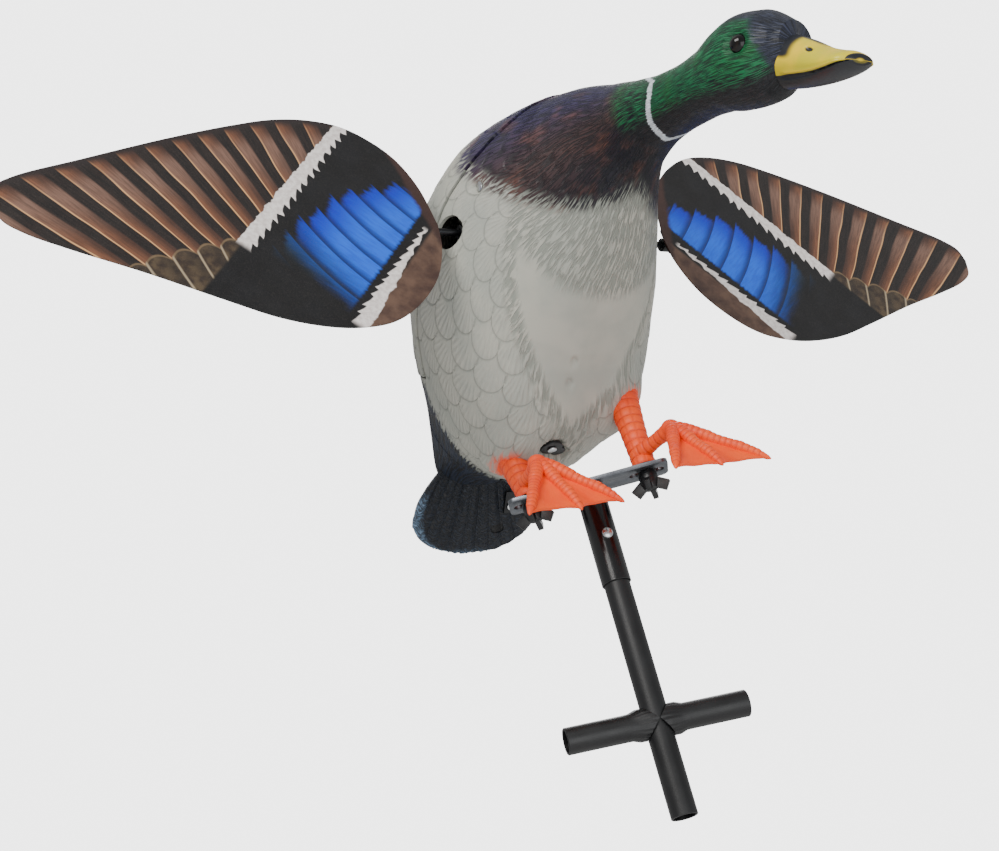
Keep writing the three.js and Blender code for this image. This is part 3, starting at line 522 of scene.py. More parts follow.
grey = w.blend(w.step(cloud, 0.35, 0.65), srgb(158, 160, 151), srgb(172, 171, 160))
# painted shade: the grey flank paint is darkened in the hollows of the strokes, between the barbs and
# in the cut feather grooves
grey = w.blend(w.math("MULTIPLY", w.math("SUBTRACT", 1.0, scales), w.math(
    "MULTIPLY", w.math("SUBTRACT", 1.0, panel), w.math("SUBTRACT", 1.0, stroke))), grey,
    srgb(134, 137, 128))
grey = w.blend(w.math("MULTIPLY", scales, w.math("MULTIPLY", w.math("SUBTRACT", 1.0, barbs), 0.14)),
               grey, srgb(122, 126, 118))
grey = w.blend(w.math("MULTIPLY", scales, w.math("MULTIPLY", groove, 0.42)), grey,
               srgb(84, 90, 84))
# the breast's own near-black paint with painted sheen over it: coppery at the side, purple-blue over
# the top, and coppery painted highlight patches
breast = w.blend(w.step(turn, 0.22, 0.5), srgb(10, 14, 26), srgb(54, 36, 36))
breast = w.blend(w.step(turn, 0.5, 0.78), breast, srgb(44, 40, 78))
breast = w.blend(w.math("MULTIPLY", w.step(w.noise(lay, 0.045, 2.0), 0.5, 0.7), 0.4), breast,
                 srgb(112, 70, 54))
# painted shade: near black in the hollows of the strokes
breast = w.blend(w.math("MULTIPLY", w.math("SUBTRACT", 1.0, stroke), 0.75), breast,
                 srgb(9, 9, 14))
coat = w.blend(soft_edge(dark, 3.2), grey, breast)
# painted shade: the head green is darker in the hollows of the strokes
head_green = w.blend(stroke, srgb(1, 40, 26), srgb(4, 104, 62))
head_green = w.blend(w.step(cloud, 0.45, 0.7, 0.0, 0.5), head_green, srgb(22, 96, 18))
# painted shade: the throat is darker in the hollows of the strokes
throat = w.blend(stroke, srgb(6, 8, 12), srgb(22, 28, 34))
behind_collar = w.math("MULTIPLY", dark, w.step(w.add("SeparateXYZ", lay, out=1), -128.0, -160.0))
coat = w.blend(behind_collar, coat, throat)
coat = w.blend(soft_edge(green, 3.0), coat, head_green)
# painted shade: the face mask is darker in the hollows of the strokes
coat = w.blend(soft_edge(mask, 3.0), coat, w.blend(stroke, srgb(12, 15, 24), srgb(44, 52, 72)))
coat = w.blend(w.step(w.math("ADD", collar, w.math("MULTIPLY", lift, 0.35)), 0.25, 0.65), coat,
               srgb(226, 234, 240))
# painted shade: the navy rump is darker in the hollows of the long strokes
coat = w.blend(soft_edge(rump, 3.0), coat, w.blend(long_stroke, srgb(4, 7, 13),
                                                   srgb(24, 36, 54)))
coat = w.blend(w.step(w.math("ADD", spray, w.math("MULTIPLY", lift, 0.3)), 0.12, 0.95), coat,
               srgb(244, 76, 4))
w.feed(shader["Base Color"], coat)
w.feed(shader["Roughness"], w.step(w.math("ADD", dark, w.math("MULTIPLY", grain, 0.3)), 0.0, 1.3,
                                   0.62, 0.42))
height = w.math("MULTIPLY", w.math("MULTIPLY", stroke, w.math("SUBTRACT", 1.0, panel)),
                w.math("SUBTRACT", 1.0, w.math("MULTIPLY", scales, 0.75)))
height = w.math("SUBTRACT", height, w.math("MULTIPLY", scales, w.math("MULTIPLY", groove, 0.8)))
height = w.math("ADD", height, w.math("MULTIPLY", scales, w.math("MULTIPLY", barbs, 0.4)))
height = w.math("ADD", height, w.math("MULTIPLY", grain, 0.12))
w.feed(shader["Normal"], w.bump(height, 0.0007))


def body_stations(low, high, count):
    """Places along the body, with one exactly at each corner of the seam."""
    even = np.linspace(low, high, count)
    corners = [value for value in SEAM_BACK + [SEAM_BACK[-1] + 0.02] if low < value < high]
    return np.unique(np.r_[even, corners])


back = body_stations(-200, 200, 236)
opening = seam_angle(back, -SEAM_GAP / 2)
share = np.linspace(0, 1, 188)
angle = math.pi - opening[:, None] + share * (math.pi + 2 * opening[:, None])
points, lay, marks = body_surface(back[:, None] + 0 * angle, angle, 1.5 * math.pi)
faces = grid_faces(*angle.shape)
flat = ((points - SHAFT)[..., 1:] * 1000).reshape(-1, 2)
faces = punch(flat, faces, (0, 0), (0, 0), SHAFT_HOLE)
points.reshape(-1, 3)[:, 1:] = flat / 1000 + SHAFT[1:]
turned_to_button = np.array(Matrix.Rotation(math.radians(BUTTON_TILT), 3, "X"))
local = (((points - SHAFT) * 1000 - BUTTON_AT) @ turned_to_button).reshape(-1, 3)
near = np.abs(local[:, 2]) < 6
flat = local[:, :2] + 1000 * ~near[:, None]
faces = punch(flat, faces, (0, 0), (0, 0), BUTTON_HOLE)
local[near, :2] = flat[near]
points = ((local @ turned_to_button.T + BUTTON_AT) / 1000 + SHAFT).reshape(points.shape)
rump_centre = np.array([0, 200, -97]) / 1000 + SHAFT
end_ring = points[-1] * 0 + rump_centre
points = np.concatenate([points, end_ring[None]])
lay = np.concatenate([lay, lay[-1:]])
marks = {key: np.concatenate([value, value[-1:]]) for key, value in marks.items()}
end_faces = grid_faces(2, angle.shape[1]) + (angle.shape[0] - 1) * angle.shape[1]
body_skin = make_piece("body_skin", points, np.concatenate([faces, end_faces]), "stand_and_bird",
                       lay, marks, wall=WALL / 1000, sharp=50)
body_skin.data.materials.append(painted_skin)

# ---- head --------------------------------------------------------------------------------
# The head is one moulding with the body. It has fuller cheeks, a brow over each eye and a
# short step where the face meets the bill.
back = np.linspace(-200, -292, 108)
angle = np.linspace(math.pi / 2, 2.5 * math.pi, 141) + 0 * back[:, None]
points, lay, marks = body_surface(back[:, None] + 0 * angle, angle, 1.5 * math.pi)
cap = points[-1].mean(0) + np.array([0, -0.0025, -0.001])
rear = points[0].mean(0)
points = np.concatenate([points[:1] * 0 + rear, points, points[-1:] * 0 + cap])
lay = np.concatenate([lay[:1], lay, lay[-1:]])
marks = {key: np.concatenate([value[:1], value, value[-1:]]) for key, value in marks.items()}
local = (points - SHAFT) * 1000
for eye in (-1, 1):
    away = local - np.array([eye * 23.0, -269.5, -43.5])
    near = np.linalg.norm(away, axis=-1)
    socket = 1.6 * np.exp(-((near / 8.5) ** 4))[..., None] * np.array([-eye, 0, 0])
    brow = 0.8 * np.exp(-(((near - 10) / 2.4) ** 2))[..., None] * np.array([eye, 0, 0.4])
    points += (socket + brow) / 1000
head_skin = make_piece("head_skin", points, grid_faces(*points.shape[:2]), "stand_and_bird",
                       lay, marks, sharp=60)
head_skin.data.materials.append(painted_skin)

# ---- bill --------------------------------------------------------------------------------
# The bill is moulded with the head: a broad yellow-green upper half with a cut mouth line,
# nostrils and a dark nail, over a dark lower half. It is sprayed and then edged in black.
BILL_SECTIONS = np.array([
    [-284, -66, 13, 16.5], [-298, -79, 13.5, 14], [-310, -90, 15, 10.5], [-320, -97, 15.5, 8],
    [-328, -101.5, 14, 5.8], [-332.5, -104.3, 9, 3.2],
])
BILL_LEAN = 0.69


def bill_surface(share, angle):
    """An ellipse ring carried down the bill, its top flattened towards the tip, with a groove
    along the mouth and a dent at each nostril."""
    rings = spline(BILL_SECTIONS, share.ravel())
    back, middle, wide, tall = (rings[:, k].reshape(share.shape) for k in range(4))
    side, rise = np.cos(angle), np.sin(angle)
    line = -0.62 + 0.32 * share
    swell = 1 - 0.10 * smooth(share, 0.2, 0.7) * np.abs(side) * np.maximum(rise, 0)
    mouth = np.exp(-(((rise - line) / 0.07) ** 2)) * smooth(share, 0.02, 0.12)
    lip = np.exp(-(((rise - line - 0.15) / 0.08) ** 2)) * smooth(share, 0.02, 0.12)
    size = swell * (1 - 0.10 * mouth + 0.05 * lip)
    nostril = np.exp(-((((share - 0.30) / 0.045) ** 2 + ((np.abs(side) - 0.74) / 0.09) ** 2) ** 2)) \
        * (rise > 0)
    rim = np.exp(-((np.sqrt(((share - 0.30) / 0.07) ** 2 + ((np.abs(side) - 0.74) / 0.13) ** 2)
                    - 1.0) / 0.3) ** 2) * (rise > 0)
    size = size * (1 - 0.10 * nostril + 0.018 * rim)
    x = wide * side * size
    up = tall * rise * size
    points = np.stack([x, back - up * np.sin(BILL_LEAN), middle + up * np.cos(BILL_LEAN)], -1)
    edge = smooth(line - rise, -0.1, 0.0)
    base = (1 - smooth(share, 0.05, 0.2)) * smooth(rise, -0.1, 0.3)
    ridge = (1 - smooth(np.abs(side), 0.1, 0.42)) * (rise > 0) * smooth(share, 0.02, 0.1) \
        * (1 - smooth(share, 0.22, 0.5))
    nail = smooth(share, 0.93, 0.97) * (rise > -0.3)
    dark = np.maximum.reduce([base, 0.8 * ridge, nail, 1.3 * nostril])
    return points / 1000 + SHAFT, {
        "paint": np.stack([np.clip(dark, 0, 1), edge, mouth], -1),
        "form": np.stack([lip * (share > 0.05), share, rise * 0.5 + 0.5], -1),
    }


share = np.linspace(0, 1, 90)[:, None] ** 0.85 + np.zeros((1, 121))
angle = np.linspace(-math.pi / 2, 1.5 * math.pi, 121) + 0 * share
points, marks = bill_surface(share, angle)
first, last = points[:1].mean(1, keepdims=True), points[-1:].mean(1, keepdims=True)
points = np.concatenate([points[:1] * 0 + first, points, points[-1:] * 0 + last])
marks = {key: np.concatenate([value[:1], value, value[-1:]]) for key, value in marks.items()}
bill = make_piece("bill", points, grid_faces(*points.shape[:2]), "stand_and_bird",
                  marks=marks, sharp=70)
bill_paint, w, shader = new_finish("bill_paint", roughness=0.38)
dark, lower, mouth = w.mark("paint")
lip, reach, rise = w.mark("form")
grain, cloud = w.group(grain_effect, place=w.place())
coat = w.blend(w.step(cloud, 0.4, 0.62), srgb(236, 200, 0), srgb(204, 190, 4))
coat = w.blend(w.step(rise, 0.55, 0.3, 0.0, 0.5), coat, srgb(150, 142, 20))
coat = w.blend(w.step(w.math("ADD", dark, w.math("MULTIPLY", w.math("SUBTRACT", cloud, 0.5), 0.5)),
                      0.15, 0.85), coat, srgb(18, 21, 28))
coat = w.blend(w.step(lower, 0.3, 0.75), coat, srgb(14, 16, 22))
coat = w.blend(w.math("MULTIPLY", w.step(lip, 0.55, 0.9), w.step(lower, 0.6, 0.2)), coat,
               srgb(216, 186, 30))
coat = w.blend(w.step(mouth, 0.25, 0.6), coat, srgb(9, 9, 10))
w.feed(shader["Base Color"], coat)
w.feed(shader["Roughness"], w.step(grain, 0.2, 0.8, 0.3, 0.46))
w.feed(shader["Normal"], w.bump(grain, 0.00012, 0.6))
bill.data.materials.append(bill_paint)

# ---- eyes --------------------------------------------------------------------------------
# Each eye is a moulded glossy black-brown ball with a slightly raised cornea, glued in.
eye_gloss, w, shader = new_finish("eye_gloss", roughness=0.06, specular_ior_level=0.35)
grain, cloud = w.group(grain_effect, place=w.place(), scale=1500.0)
_, ring, _ = w.mark("form")
w.feed(shader["Base Color"], w.blend(w.math("MULTIPLY", w.step(ring, 0.3, 0.8), w.step(
    grain, 0.2, 0.8, 0.3, 0.6)), srgb(3, 2, 3), srgb(30, 17, 9)))
for side, sign in (("right", -1), ("left", 1)):
    low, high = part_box(f"{side}_eye")
    middle = (np.array(low) + np.array(high)) / 2
    radius = (high.z - low.z) / 2
    tilt = np.linspace(0, math.pi, 33)[:, None] + np.zeros((1, 49))
    around = np.linspace(0, 2 * math.pi, 49) + 0 * tilt
    bulge = radius * (1 + 0.06 * np.exp(-((tilt / 0.6) ** 4)))
    points = np.stack([sign * bulge * np.cos(tilt), bulge * np.sin(tilt) * np.cos(around),
                       bulge * np.sin(tilt) * np.sin(around)], -1) + middle
    ring = np.exp(-(((tilt - 0.62) / 0.18) ** 2))
    marks = {"form": np.stack([np.cos(tilt), ring, 0 * tilt], -1)}
    eye = make_piece(f"{side}_eye_ball", points, grid_faces(33, 49), "stand_and_bird",
                     marks=marks)
    eye.data.materials.append(eye_gloss)
    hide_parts(f"{side}_eye")
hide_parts("body_shell")

# ---- back cover --------------------------------------------------------------------------
# The back cover is a second moulding that closes the battery opening. It swings up about a
# pin behind the rump and stands a little proud of the body all round its edge.
back = body_stations(-89.9, 151, 160)
opening = seam_angle(back, SEAM_GAP / 2)
share = np.linspace(0, 1, 240)
angle = opening[:, None] + share * (math.pi - 2 * opening[:, None])
points, lay, marks = body_surface(back[:, None] + 0 * angle, angle, -math.pi / 2, proud=1.3)
cover_skin = make_piece("cover_skin", points, grid_faces(*angle.shape), "cover", lay,
                        marks, wall=WALL / 1000, sharp=50)
cover_skin.data.materials.append(painted_skin)
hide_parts("back_cover")

# Hinge knuckles: short moulded barrels on the body and one between them on the cover.
HINGE = np.array([0.0, 0.151, -0.0215]) + SHAFT


def turned_piece(name, profile, origin, axis, body, columns=64, sharp=35, lay=True):
    """A profile of (distance along, radius) rows in metres carried round an axis."""
    profile = np.array(profile, float)
    axis = np.array(axis, float) / np.linalg.norm(axis)
    side = np.cross(axis, (0.31, 0.52, 0.79))
    side /= np.linalg.norm(side)
    other = np.cross(axis, side)
    around = np.linspace(0, 2 * math.pi, columns + 1)
    circle = np.cos(around)[:, None] * side + np.sin(around)[:, None] * other
    points = (np.array(origin) + profile[:, :1, None] * axis
              + profile[:, 1, None, None] * circle[None])
    flat = np.stack([np.broadcast_to(around * 10, (len(profile), columns + 1)),
                     np.broadcast_to(profile[:, :1] * 1000, (len(profile), columns + 1))], -1)
    return make_piece(name, points, grid_faces(len(profile), columns + 1), body,
                      flat if lay else None, sharp=sharp)


def tube_profile(start, end, outer, inner, chamfer=0.0004):
    """A closed tube wall from start to end with its four rims eased."""
    c = chamfer
    return [(start + c, inner), (start, inner + c), (start, outer - c), (start + c, outer),
            (end - c, outer), (end, outer - c), (end, inner + c), (end - c, inner),
            (start + c, inner)]


for label, start, end, body in (("right", -0.015, -0.0079, "stand_and_bird"),
                                ("left", 0.0079, 0.015, "stand_and_bird"),
                                ("cover", -0.0076, 0.0076, "cover")):
    knuckle = turned_piece(f"hinge_knuckle_{label}", tube_profile(start, end, 0.0042, 0.0019),
                           HINGE, (1, 0, 0), body)
    knuckle.data.materials.append(painted_skin)
    marks = knuckle.data.attributes.new("spots", "FLOAT_VECTOR", "POINT")
    marks.data.foreach_set("vector", np.tile([1.0, 0, 0], len(knuckle.data.vertices)))

# ---- tail --------------------------------------------------------------------------------
# The tail is a separate flat moulding in the shape of a fan of feathers. A slot, a metal tab
# and a screw hold it under the rump, and its edge is dry-brushed pale blue.
TAIL_ROOT = np.array([0.0, 0.180, -0.092]) + SHAFT
TAIL_TILT = math.radians(-45.5)
TAIL_HALF = 53.0
TAIL_LENGTH = 78.0


def bezier(points, count):
    """Points along a cubic Bezier curve through its four controls."""
    t = np.linspace(0, 1, count)[:, None]
    a, b, c, d = (np.array(point, float) for point in points)
    return (1 - t)**3 * a + 3 * (1 - t)**2 * t * b + 3 * (1 - t) * t**2 * c + t**3 * d


half, length = TAIL_HALF, TAIL_LENGTH
side_curve = np.concatenate([
    bezier([(0.36 * half, -14), (0.6 * half, 10), (1.02 * half, 0.3 * length),
            (half, 0.62 * length)], 60),
    bezier([(half, 0.62 * length), (0.98 * half, 0.9 * length), (0.5 * half, length),
            (0, length)], 60)[1:],
])
reach = np.r_[np.linspace(-12, 60, 110), 60 + 18 * np.sin(np.linspace(0, math.pi / 2, 60))[1:]]
across = np.linspace(-1, 1, 200)
width = np.interp(reach, side_curve[:, 1], side_curve[:, 0])
x = across * width[:, None]
y = reach[:, None] + 0 * x
fan = np.degrees(np.arctan2(x, y + 62))
rank = fan / 5.2 + 0.5
feather = np.abs(rank - np.round(rank)) * 2
step = np.mod(rank, 1.0)
out = np.hypot(x, y + 62)
relief = 1.3 * (np.abs(step - 0.5) * 2 - 0.5) * smooth(y, 0, 25) \
    + 0.5 * np.exp(-((np.mod(step + 0.5, 1) - 0.5) / 0.05) ** 2)
droop = -0.0006 * x**2 + 0.6 * np.sin(fan * 0.5)
z = relief + droop * 1.0
flat = np.stack([x, y], -1).reshape(-1, 2)
faces = grid_faces(*x.shape)
x, y = flat[:, 0], flat[:, 1]
slot_share = np.clip((x - 22) / 5, 0, 1)
slot = 1 - smooth(np.hypot(x - 22 - 5 * slot_share, y - 0.74 * length), 2.9, 3.9)
z = z.ravel()
points = np.stack([x, y * math.cos(TAIL_TILT) - z * math.sin(TAIL_TILT),
                   y * math.sin(TAIL_TILT) + z * math.cos(TAIL_TILT)], -1) / 1000 + TAIL_ROOT
side_rim = np.broadcast_to(-across, (len(reach), len(across))).ravel()
pale = smooth(np.maximum(side_rim, y / length - 0.12), 0.72, 1.0) * smooth(y / length, 0.2, 0.5)
marks = {"form": np.stack([step.ravel(), pale, slot], -1)}
lay = np.stack([fan.ravel() * 1.6, out.ravel()], -1)
tail = make_piece("tail_feathers", points, faces, "stand_and_bird", lay, marks,
                  wall=0.0034, offset=0.0, sharp=60, outward=False)
tail_paint, w, shader = new_finish("tail_paint", roughness=0.45)
step, edge, slot = w.mark("form")
lay = w.lay()
grain, cloud = w.group(grain_effect, place=w.place())
outward = w.add("SeparateXYZ", lay, out=1)
slant = w.math("MULTIPLY", w.math("ABSOLUTE", w.math("SUBTRACT", step, 0.5)), 7.0)
barb = w.step(w.noise(w.add(
    "CombineXYZ", w.math("MULTIPLY", w.add("SeparateXYZ", lay), 0.35),
    w.math("MULTIPLY", w.math("ADD", outward, slant), 0.75), 0.0), 1.0, 3.0, 0.6), 0.4, 0.62)
# painted shade: the tail's dark paint is darker still in the hollows of the barbs
coat = w.blend(barb, srgb(4, 6, 10), srgb(20, 30, 44))
shaft_line = w.step(w.math("ABSOLUTE", w.math("SUBTRACT", w.math("ABSOLUTE", w.math(
    "SUBTRACT", step, 0.5)), 0.5)), 0.0, 0.07, 1.0, 0.0)
coat = w.blend(w.math("MULTIPLY", shaft_line, 0.5), coat, srgb(84, 100, 114))
coat = w.blend(w.math("MULTIPLY", w.step(edge, 0.25, 1.0), w.math("ADD", w.math(
    "MULTIPLY", barb, 0.6), 0.1)), coat, srgb(140, 172, 204))
# painted shade: the slot is not cut through the mesh, and its opening is painted near-black
coat = w.blend(slot, coat, srgb(2, 2, 3))
w.feed(shader["Base Color"], coat)
w.feed(shader["Roughness"], w.step(grain, 0.2, 0.8, 0.36, 0.52))
w.feed(shader["Normal"], w.bump(w.math("SUBTRACT", w.math("ADD", barb, w.math(
    "MULTIPLY", shaft_line, 0.8)), w.math("MULTIPLY", slot, 4.0)), 0.0005))
tail.data.materials.append(tail_paint)
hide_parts("tail_fan")

# ---- wings -------------------------------------------------------------------------------
# Each wing is a thin stiff plastic plate, printed on both faces with the open wing of a drake:
# dark and tan primaries, a blue panel between two white bars, and olive coverts below.
WING_ROOT = 98.0
WING_LENGTH = 314.0
WING_DEPTH = 184.0
WING_THICKNESS = 1.2
WING_TILT = -0.08
WING_BACK = -5.5
WING_OUTLINE = np.array([
    [0.0, 0.0], [0.02, 0.19], [0.06, 0.33], [0.115, 0.42], [0.175, 0.475], [0.25, 0.495],
    [0.34, 0.482], [0.44, 0.435], [0.6, 0.34], [0.8, 0.205], [0.95, 0.1], [0.99, 0.05],
    [1.0, -0.015], [0.985, -0.095], [0.945, -0.145], [0.86, -0.205], [0.71, -0.295],
    [0.555, -0.4], [0.445, -0.47], [0.35, -0.502], [0.27, -0.505], [0.185, -0.475],
    [0.115, -0.4], [0.045, -0.265], [0.008, -0.11],
])


def wing_edges(reach):
    """Height of the plate's upper and lower edge at each distance from the body's middle."""
    u = WING_ROOT + WING_OUTLINE[:, 0] * WING_LENGTH
    v = WING_OUTLINE[:, 1] * WING_DEPTH
    tip = int(np.argmax(u))
    upper = spline(np.stack([u[:tip + 1], v[:tip + 1]], -1), np.linspace(0, 1, 400))
    lower = spline(np.stack([np.r_[u[tip:], u[0]], np.r_[v[tip:], v[0]]], -1),
                   np.linspace(0, 1, 400))[::-1]
    return (np.interp(reach, upper[:, 0], upper[:, 1]), np.interp(reach, lower[:, 0], lower[:, 1]))


print_front, w, shader = new_finish("wing_print", roughness=0.42, specular_ior_level=0.45)
along, across, edge = w.mark("bars")       # along and across the white bars, depth under the edge
fan, far, covert = w.mark("vanes")         # feather number, distance from the fan's centre, covert
place = w.place()
lay = w.lay()
grain, cloud = w.group(grain_effect, place=place, scale=1400.0)
mottle = w.noise(lay, 0.055, 3.0, 0.6)
fine = w.noise(w.add("CombineXYZ", w.math("MULTIPLY", fan, 14.0), w.math("MULTIPLY", far, 0.05),
                     0.0), 1.0, 3.0, 0.6)
wobble = w.math("MULTIPLY", w.math("SUBTRACT", w.noise(w.add(
    "CombineXYZ", fan, w.math("MULTIPLY", far, 0.02), 2.0), 1.0, 1.0), 0.5), 0.25)
vane = w.math("FRACT", w.math("ADD", fan, wobble))
# primaries: pale shaft, tan vane fading to brown, then the dark vane of the next feather
tan = w.blend(w.step(vane, 0.05, 0.5), srgb(122, 78, 54), srgb(68, 43, 33))
# painted sheen: a paler band on the tan vanes 8 to 70 mm under the upper edge
tan = w.blend(w.math("MULTIPLY", w.step(edge, 8.0, 24.0), w.step(edge, 70.0, 24.0, 0.0, 0.8)), tan,
              srgb(126, 96, 82))
tan = w.blend(w.step(fine, 0.35, 0.7, 0.0, 0.5), tan, srgb(46, 31, 25))
dusk = w.blend(w.step(fine, 0.3, 0.7), srgb(12, 9, 9), srgb(34, 25, 22))
primary = w.blend(w.step(vane, 0.50, 0.60), tan, dusk)
primary = w.blend(w.step(vane, 0.92, 0.985), primary, srgb(18, 13, 12))
shaft_line = w.math("MULTIPLY", w.step(vane, 0.0, 0.035), w.step(vane, 0.085, 0.04))
primary = w.blend(w.math("MULTIPLY", shaft_line, w.step(edge, 4.0, 40.0, 0.25, 0.95)), primary,
                  srgb(212, 164, 112))
primary = w.blend(w.step(edge, 9.0, 1.0), primary, srgb(32, 24, 24))
# coverts: rounded olive feathers with pale rims along the lower edge
covert_fan = w.math("FRACT", w.math("ADD", w.math("MULTIPLY", fan, 0.95), w.math(
    "MULTIPLY", covert, 0.022)))
olive = w.blend(w.step(w.noise(lay, 0.12, 3.0), 0.35, 0.65), srgb(42, 31, 24), srgb(78, 64, 46))
olive = w.blend(w.step(covert_fan, 0.35, 0.95, 0.0, 0.6), olive, srgb(34, 28, 24))
olive = w.blend(w.math("MULTIPLY", w.step(covert_fan, 0.0, 0.06), w.step(covert_fan, 0.15, 0.07)),
                olive, srgb(158, 142, 116))
fan_offset = w.math("MULTIPLY", w.math("SUBTRACT", covert_fan, 0.5), 2.0)
scallop = w.math("MULTIPLY", w.math("ABSOLUTE", w.math("POWER", fan_offset, 2.0)), 6.0)
coat = w.blend(w.step(w.math("SUBTRACT", covert, scallop), -1.5, 0.5), primary, olive)
rim = w.math("ABSOLUTE", w.math("SUBTRACT", w.math("SUBTRACT", covert, scallop), 0.2))
coat = w.blend(w.step(rim, 1.4, 0.3, 0.0, 0.35), coat, srgb(150, 124, 90))
# the blue panel and its black surround, both inside the outer white bar
jag = w.math("FRACT", w.math("ADD", w.math("DIVIDE", along, 9.5), w.math("MULTIPLY", w.noise(
    lay, 0.07, 1.0), 0.9)))
tooth = w.math("MULTIPLY", w.math("POWER", jag, 1.3), w.math("ADD", w.math(
    "MULTIPLY", w.noise(lay, 0.11, 1.0), 6.0), 1.5))
inner_side = w.step(across, 2.0, -1.0)
coat = w.blend(inner_side, coat, w.blend(w.step(mottle, 0.35, 0.7), srgb(2, 2, 4),
                                         srgb(10, 11, 15)))
panel_top = w.math("ADD", w.math("MULTIPLY", w.step(along, 5.0, 75.0), 34.0), -64.0)
panel_top = w.math("ADD", panel_top, w.math("MULTIPLY", w.step(along, 75.0, 112.0), 8.0))
feather = w.math("ADD", w.math("DIVIDE", along, 19.0), w.math("MULTIPLY", w.math(
    "ADD", across, 56.0), 0.011))
feather = w.math("ADD", feather, w.math("MULTIPLY", w.math("POWER", w.math("ABSOLUTE", w.math(
    "DIVIDE", w.math("ADD", across, 62.0), 40.0)), 2.0), 0.22))
barb = w.math("FRACT", feather)
panel_top = w.math("ADD", panel_top, w.math("MULTIPLY", w.math("SUBTRACT", 0.6, barb), 9.0))
into = w.math("SUBTRACT", panel_top, across)
ragged = w.math("MULTIPLY", w.math("SUBTRACT", w.noise(w.add("CombineXYZ", w.math(
    "MULTIPLY", along, 0.45), w.math("MULTIPLY", across, 0.06), 0.0), 1.0, 2.0), 0.5), 12.0)
in_top = w.step(w.math("ADD", into, ragged), -2.0, 5.0)
in_low = w.step(w.math("ADD", across, w.math("MULTIPLY", ragged, 0.35)), -85.5, -82.0)
in_start = w.step(w.math("ADD", w.math("ADD", along, w.math("MULTIPLY", across, -0.1)), ragged),
                  22.0, 32.0)
fade = w.step(w.math("ADD", w.math("ADD", along, w.math("MULTIPLY", across, 0.32)), ragged), 128.0,
              84.0)
blue = w.blend(w.step(into, 0.0, 34.0), srgb(0, 18, 176), srgb(0, 96, 228))
blue = w.blend(w.step(w.noise(w.add("CombineXYZ", w.math("MULTIPLY", along, 0.5), w.math(
    "MULTIPLY", across, 0.07), 5.0), 1.0, 3.0), 0.35, 0.75, 0.0, 0.55), blue, srgb(8, 62, 190))
blue = w.blend(w.math("MULTIPLY", w.step(barb, 0.62, 1.0), 0.85), blue, srgb(5, 22, 72))
blue = w.blend(w.step(barb, 0.03, 0.0), blue, srgb(3, 12, 38))
in_panel = w.math("MULTIPLY", w.math("MULTIPLY", in_top, in_low), w.math("MULTIPLY", in_start,
                                                                        inner_side))
teal = w.blend(w.step(barb, 0.2, 0.9), srgb(10, 50, 84), srgb(10, 24, 34))
coat = w.blend(w.math("MULTIPLY", in_panel, w.step(along, 150.0, 120.0)), coat, teal)
coat = w.blend(w.math("MULTIPLY", in_panel, fade), coat, blue)
# root: dark brown at the top, mottled lighter brown below the inner bar
brown = w.blend(w.step(mottle, 0.3, 0.7), srgb(60, 40, 34), srgb(98, 74, 60))
below = w.step(across, -96.0, -99.5)
coat = w.blend(below, coat, brown)
rim_brown = w.step(w.math("ADD", w.math("MULTIPLY", w.math("SUBTRACT", mottle, 0.5), 9.0), w.math(
    "MULTIPLY", w.math("SUBTRACT", along, w.math("MULTIPLY", across, -0.72)), 1.0)), -27.0, -33.0)
coat = w.blend(rim_brown, coat, w.blend(mottle, srgb(30, 18, 18), srgb(68, 42, 34)))
# the two white bars, saw-toothed on their inner side
white = w.blend(w.step(w.noise(lay, 0.3, 3.0), 0.3, 0.7), srgb(232, 226, 222), srgb(205, 196, 192))
outer_low = w.math("SUBTRACT", w.step(along, -10.0, 120.0, -3.0, -5.0), tooth)
outer = w.math("MULTIPLY", w.step(w.math("SUBTRACT", across, outer_low), -0.4, 0.4),
               w.step(w.math("ADD", across, w.math("MULTIPLY", w.math("SUBTRACT", w.noise(
                   lay, 0.16, 2.0), 0.5), 5.0)), 4.6, 3.8))
outer = w.math("MULTIPLY", outer, w.step(along, 156.0, 150.0))
coat = w.blend(outer, coat, white)
swell = w.step(along, 44.0, 150.0, 1.2, 7.5)
inner_line = w.math("ADD", across, 93.5)
inner = w.math("MULTIPLY", w.step(w.math("SUBTRACT", inner_line, w.math("ADD", w.math(
    "MULTIPLY", swell, 0.35), w.math("MULTIPLY", tooth, 0.62))), 0.5, -0.5),
    w.step(w.math("ADD", inner_line, w.math("ADD", swell, w.math("MULTIPLY", w.math(
        "SUBTRACT", w.noise(lay, 0.1, 2.0), 0.5), 7.0))), -0.5, 0.5))
inner = w.math("MULTIPLY", inner, w.math("MULTIPLY", w.step(along, 40.0, 46.0), w.step(
    along, 160.0, 154.0)))
coat = w.blend(inner, coat, white)
coat = w.blend(w.math("MULTIPLY", w.step(grain, 0.45, 0.75), 0.10), coat, srgb(120, 110, 104))
w.feed(shader["Base Color"], coat)
w.feed(shader["Roughness"], w.step(cloud, 0.3, 0.7, 0.36, 0.5))
w.feed(shader["Normal"], w.bump(w.math("ADD", grain, w.math("MULTIPLY", fine, 0.4)), 0.00008))

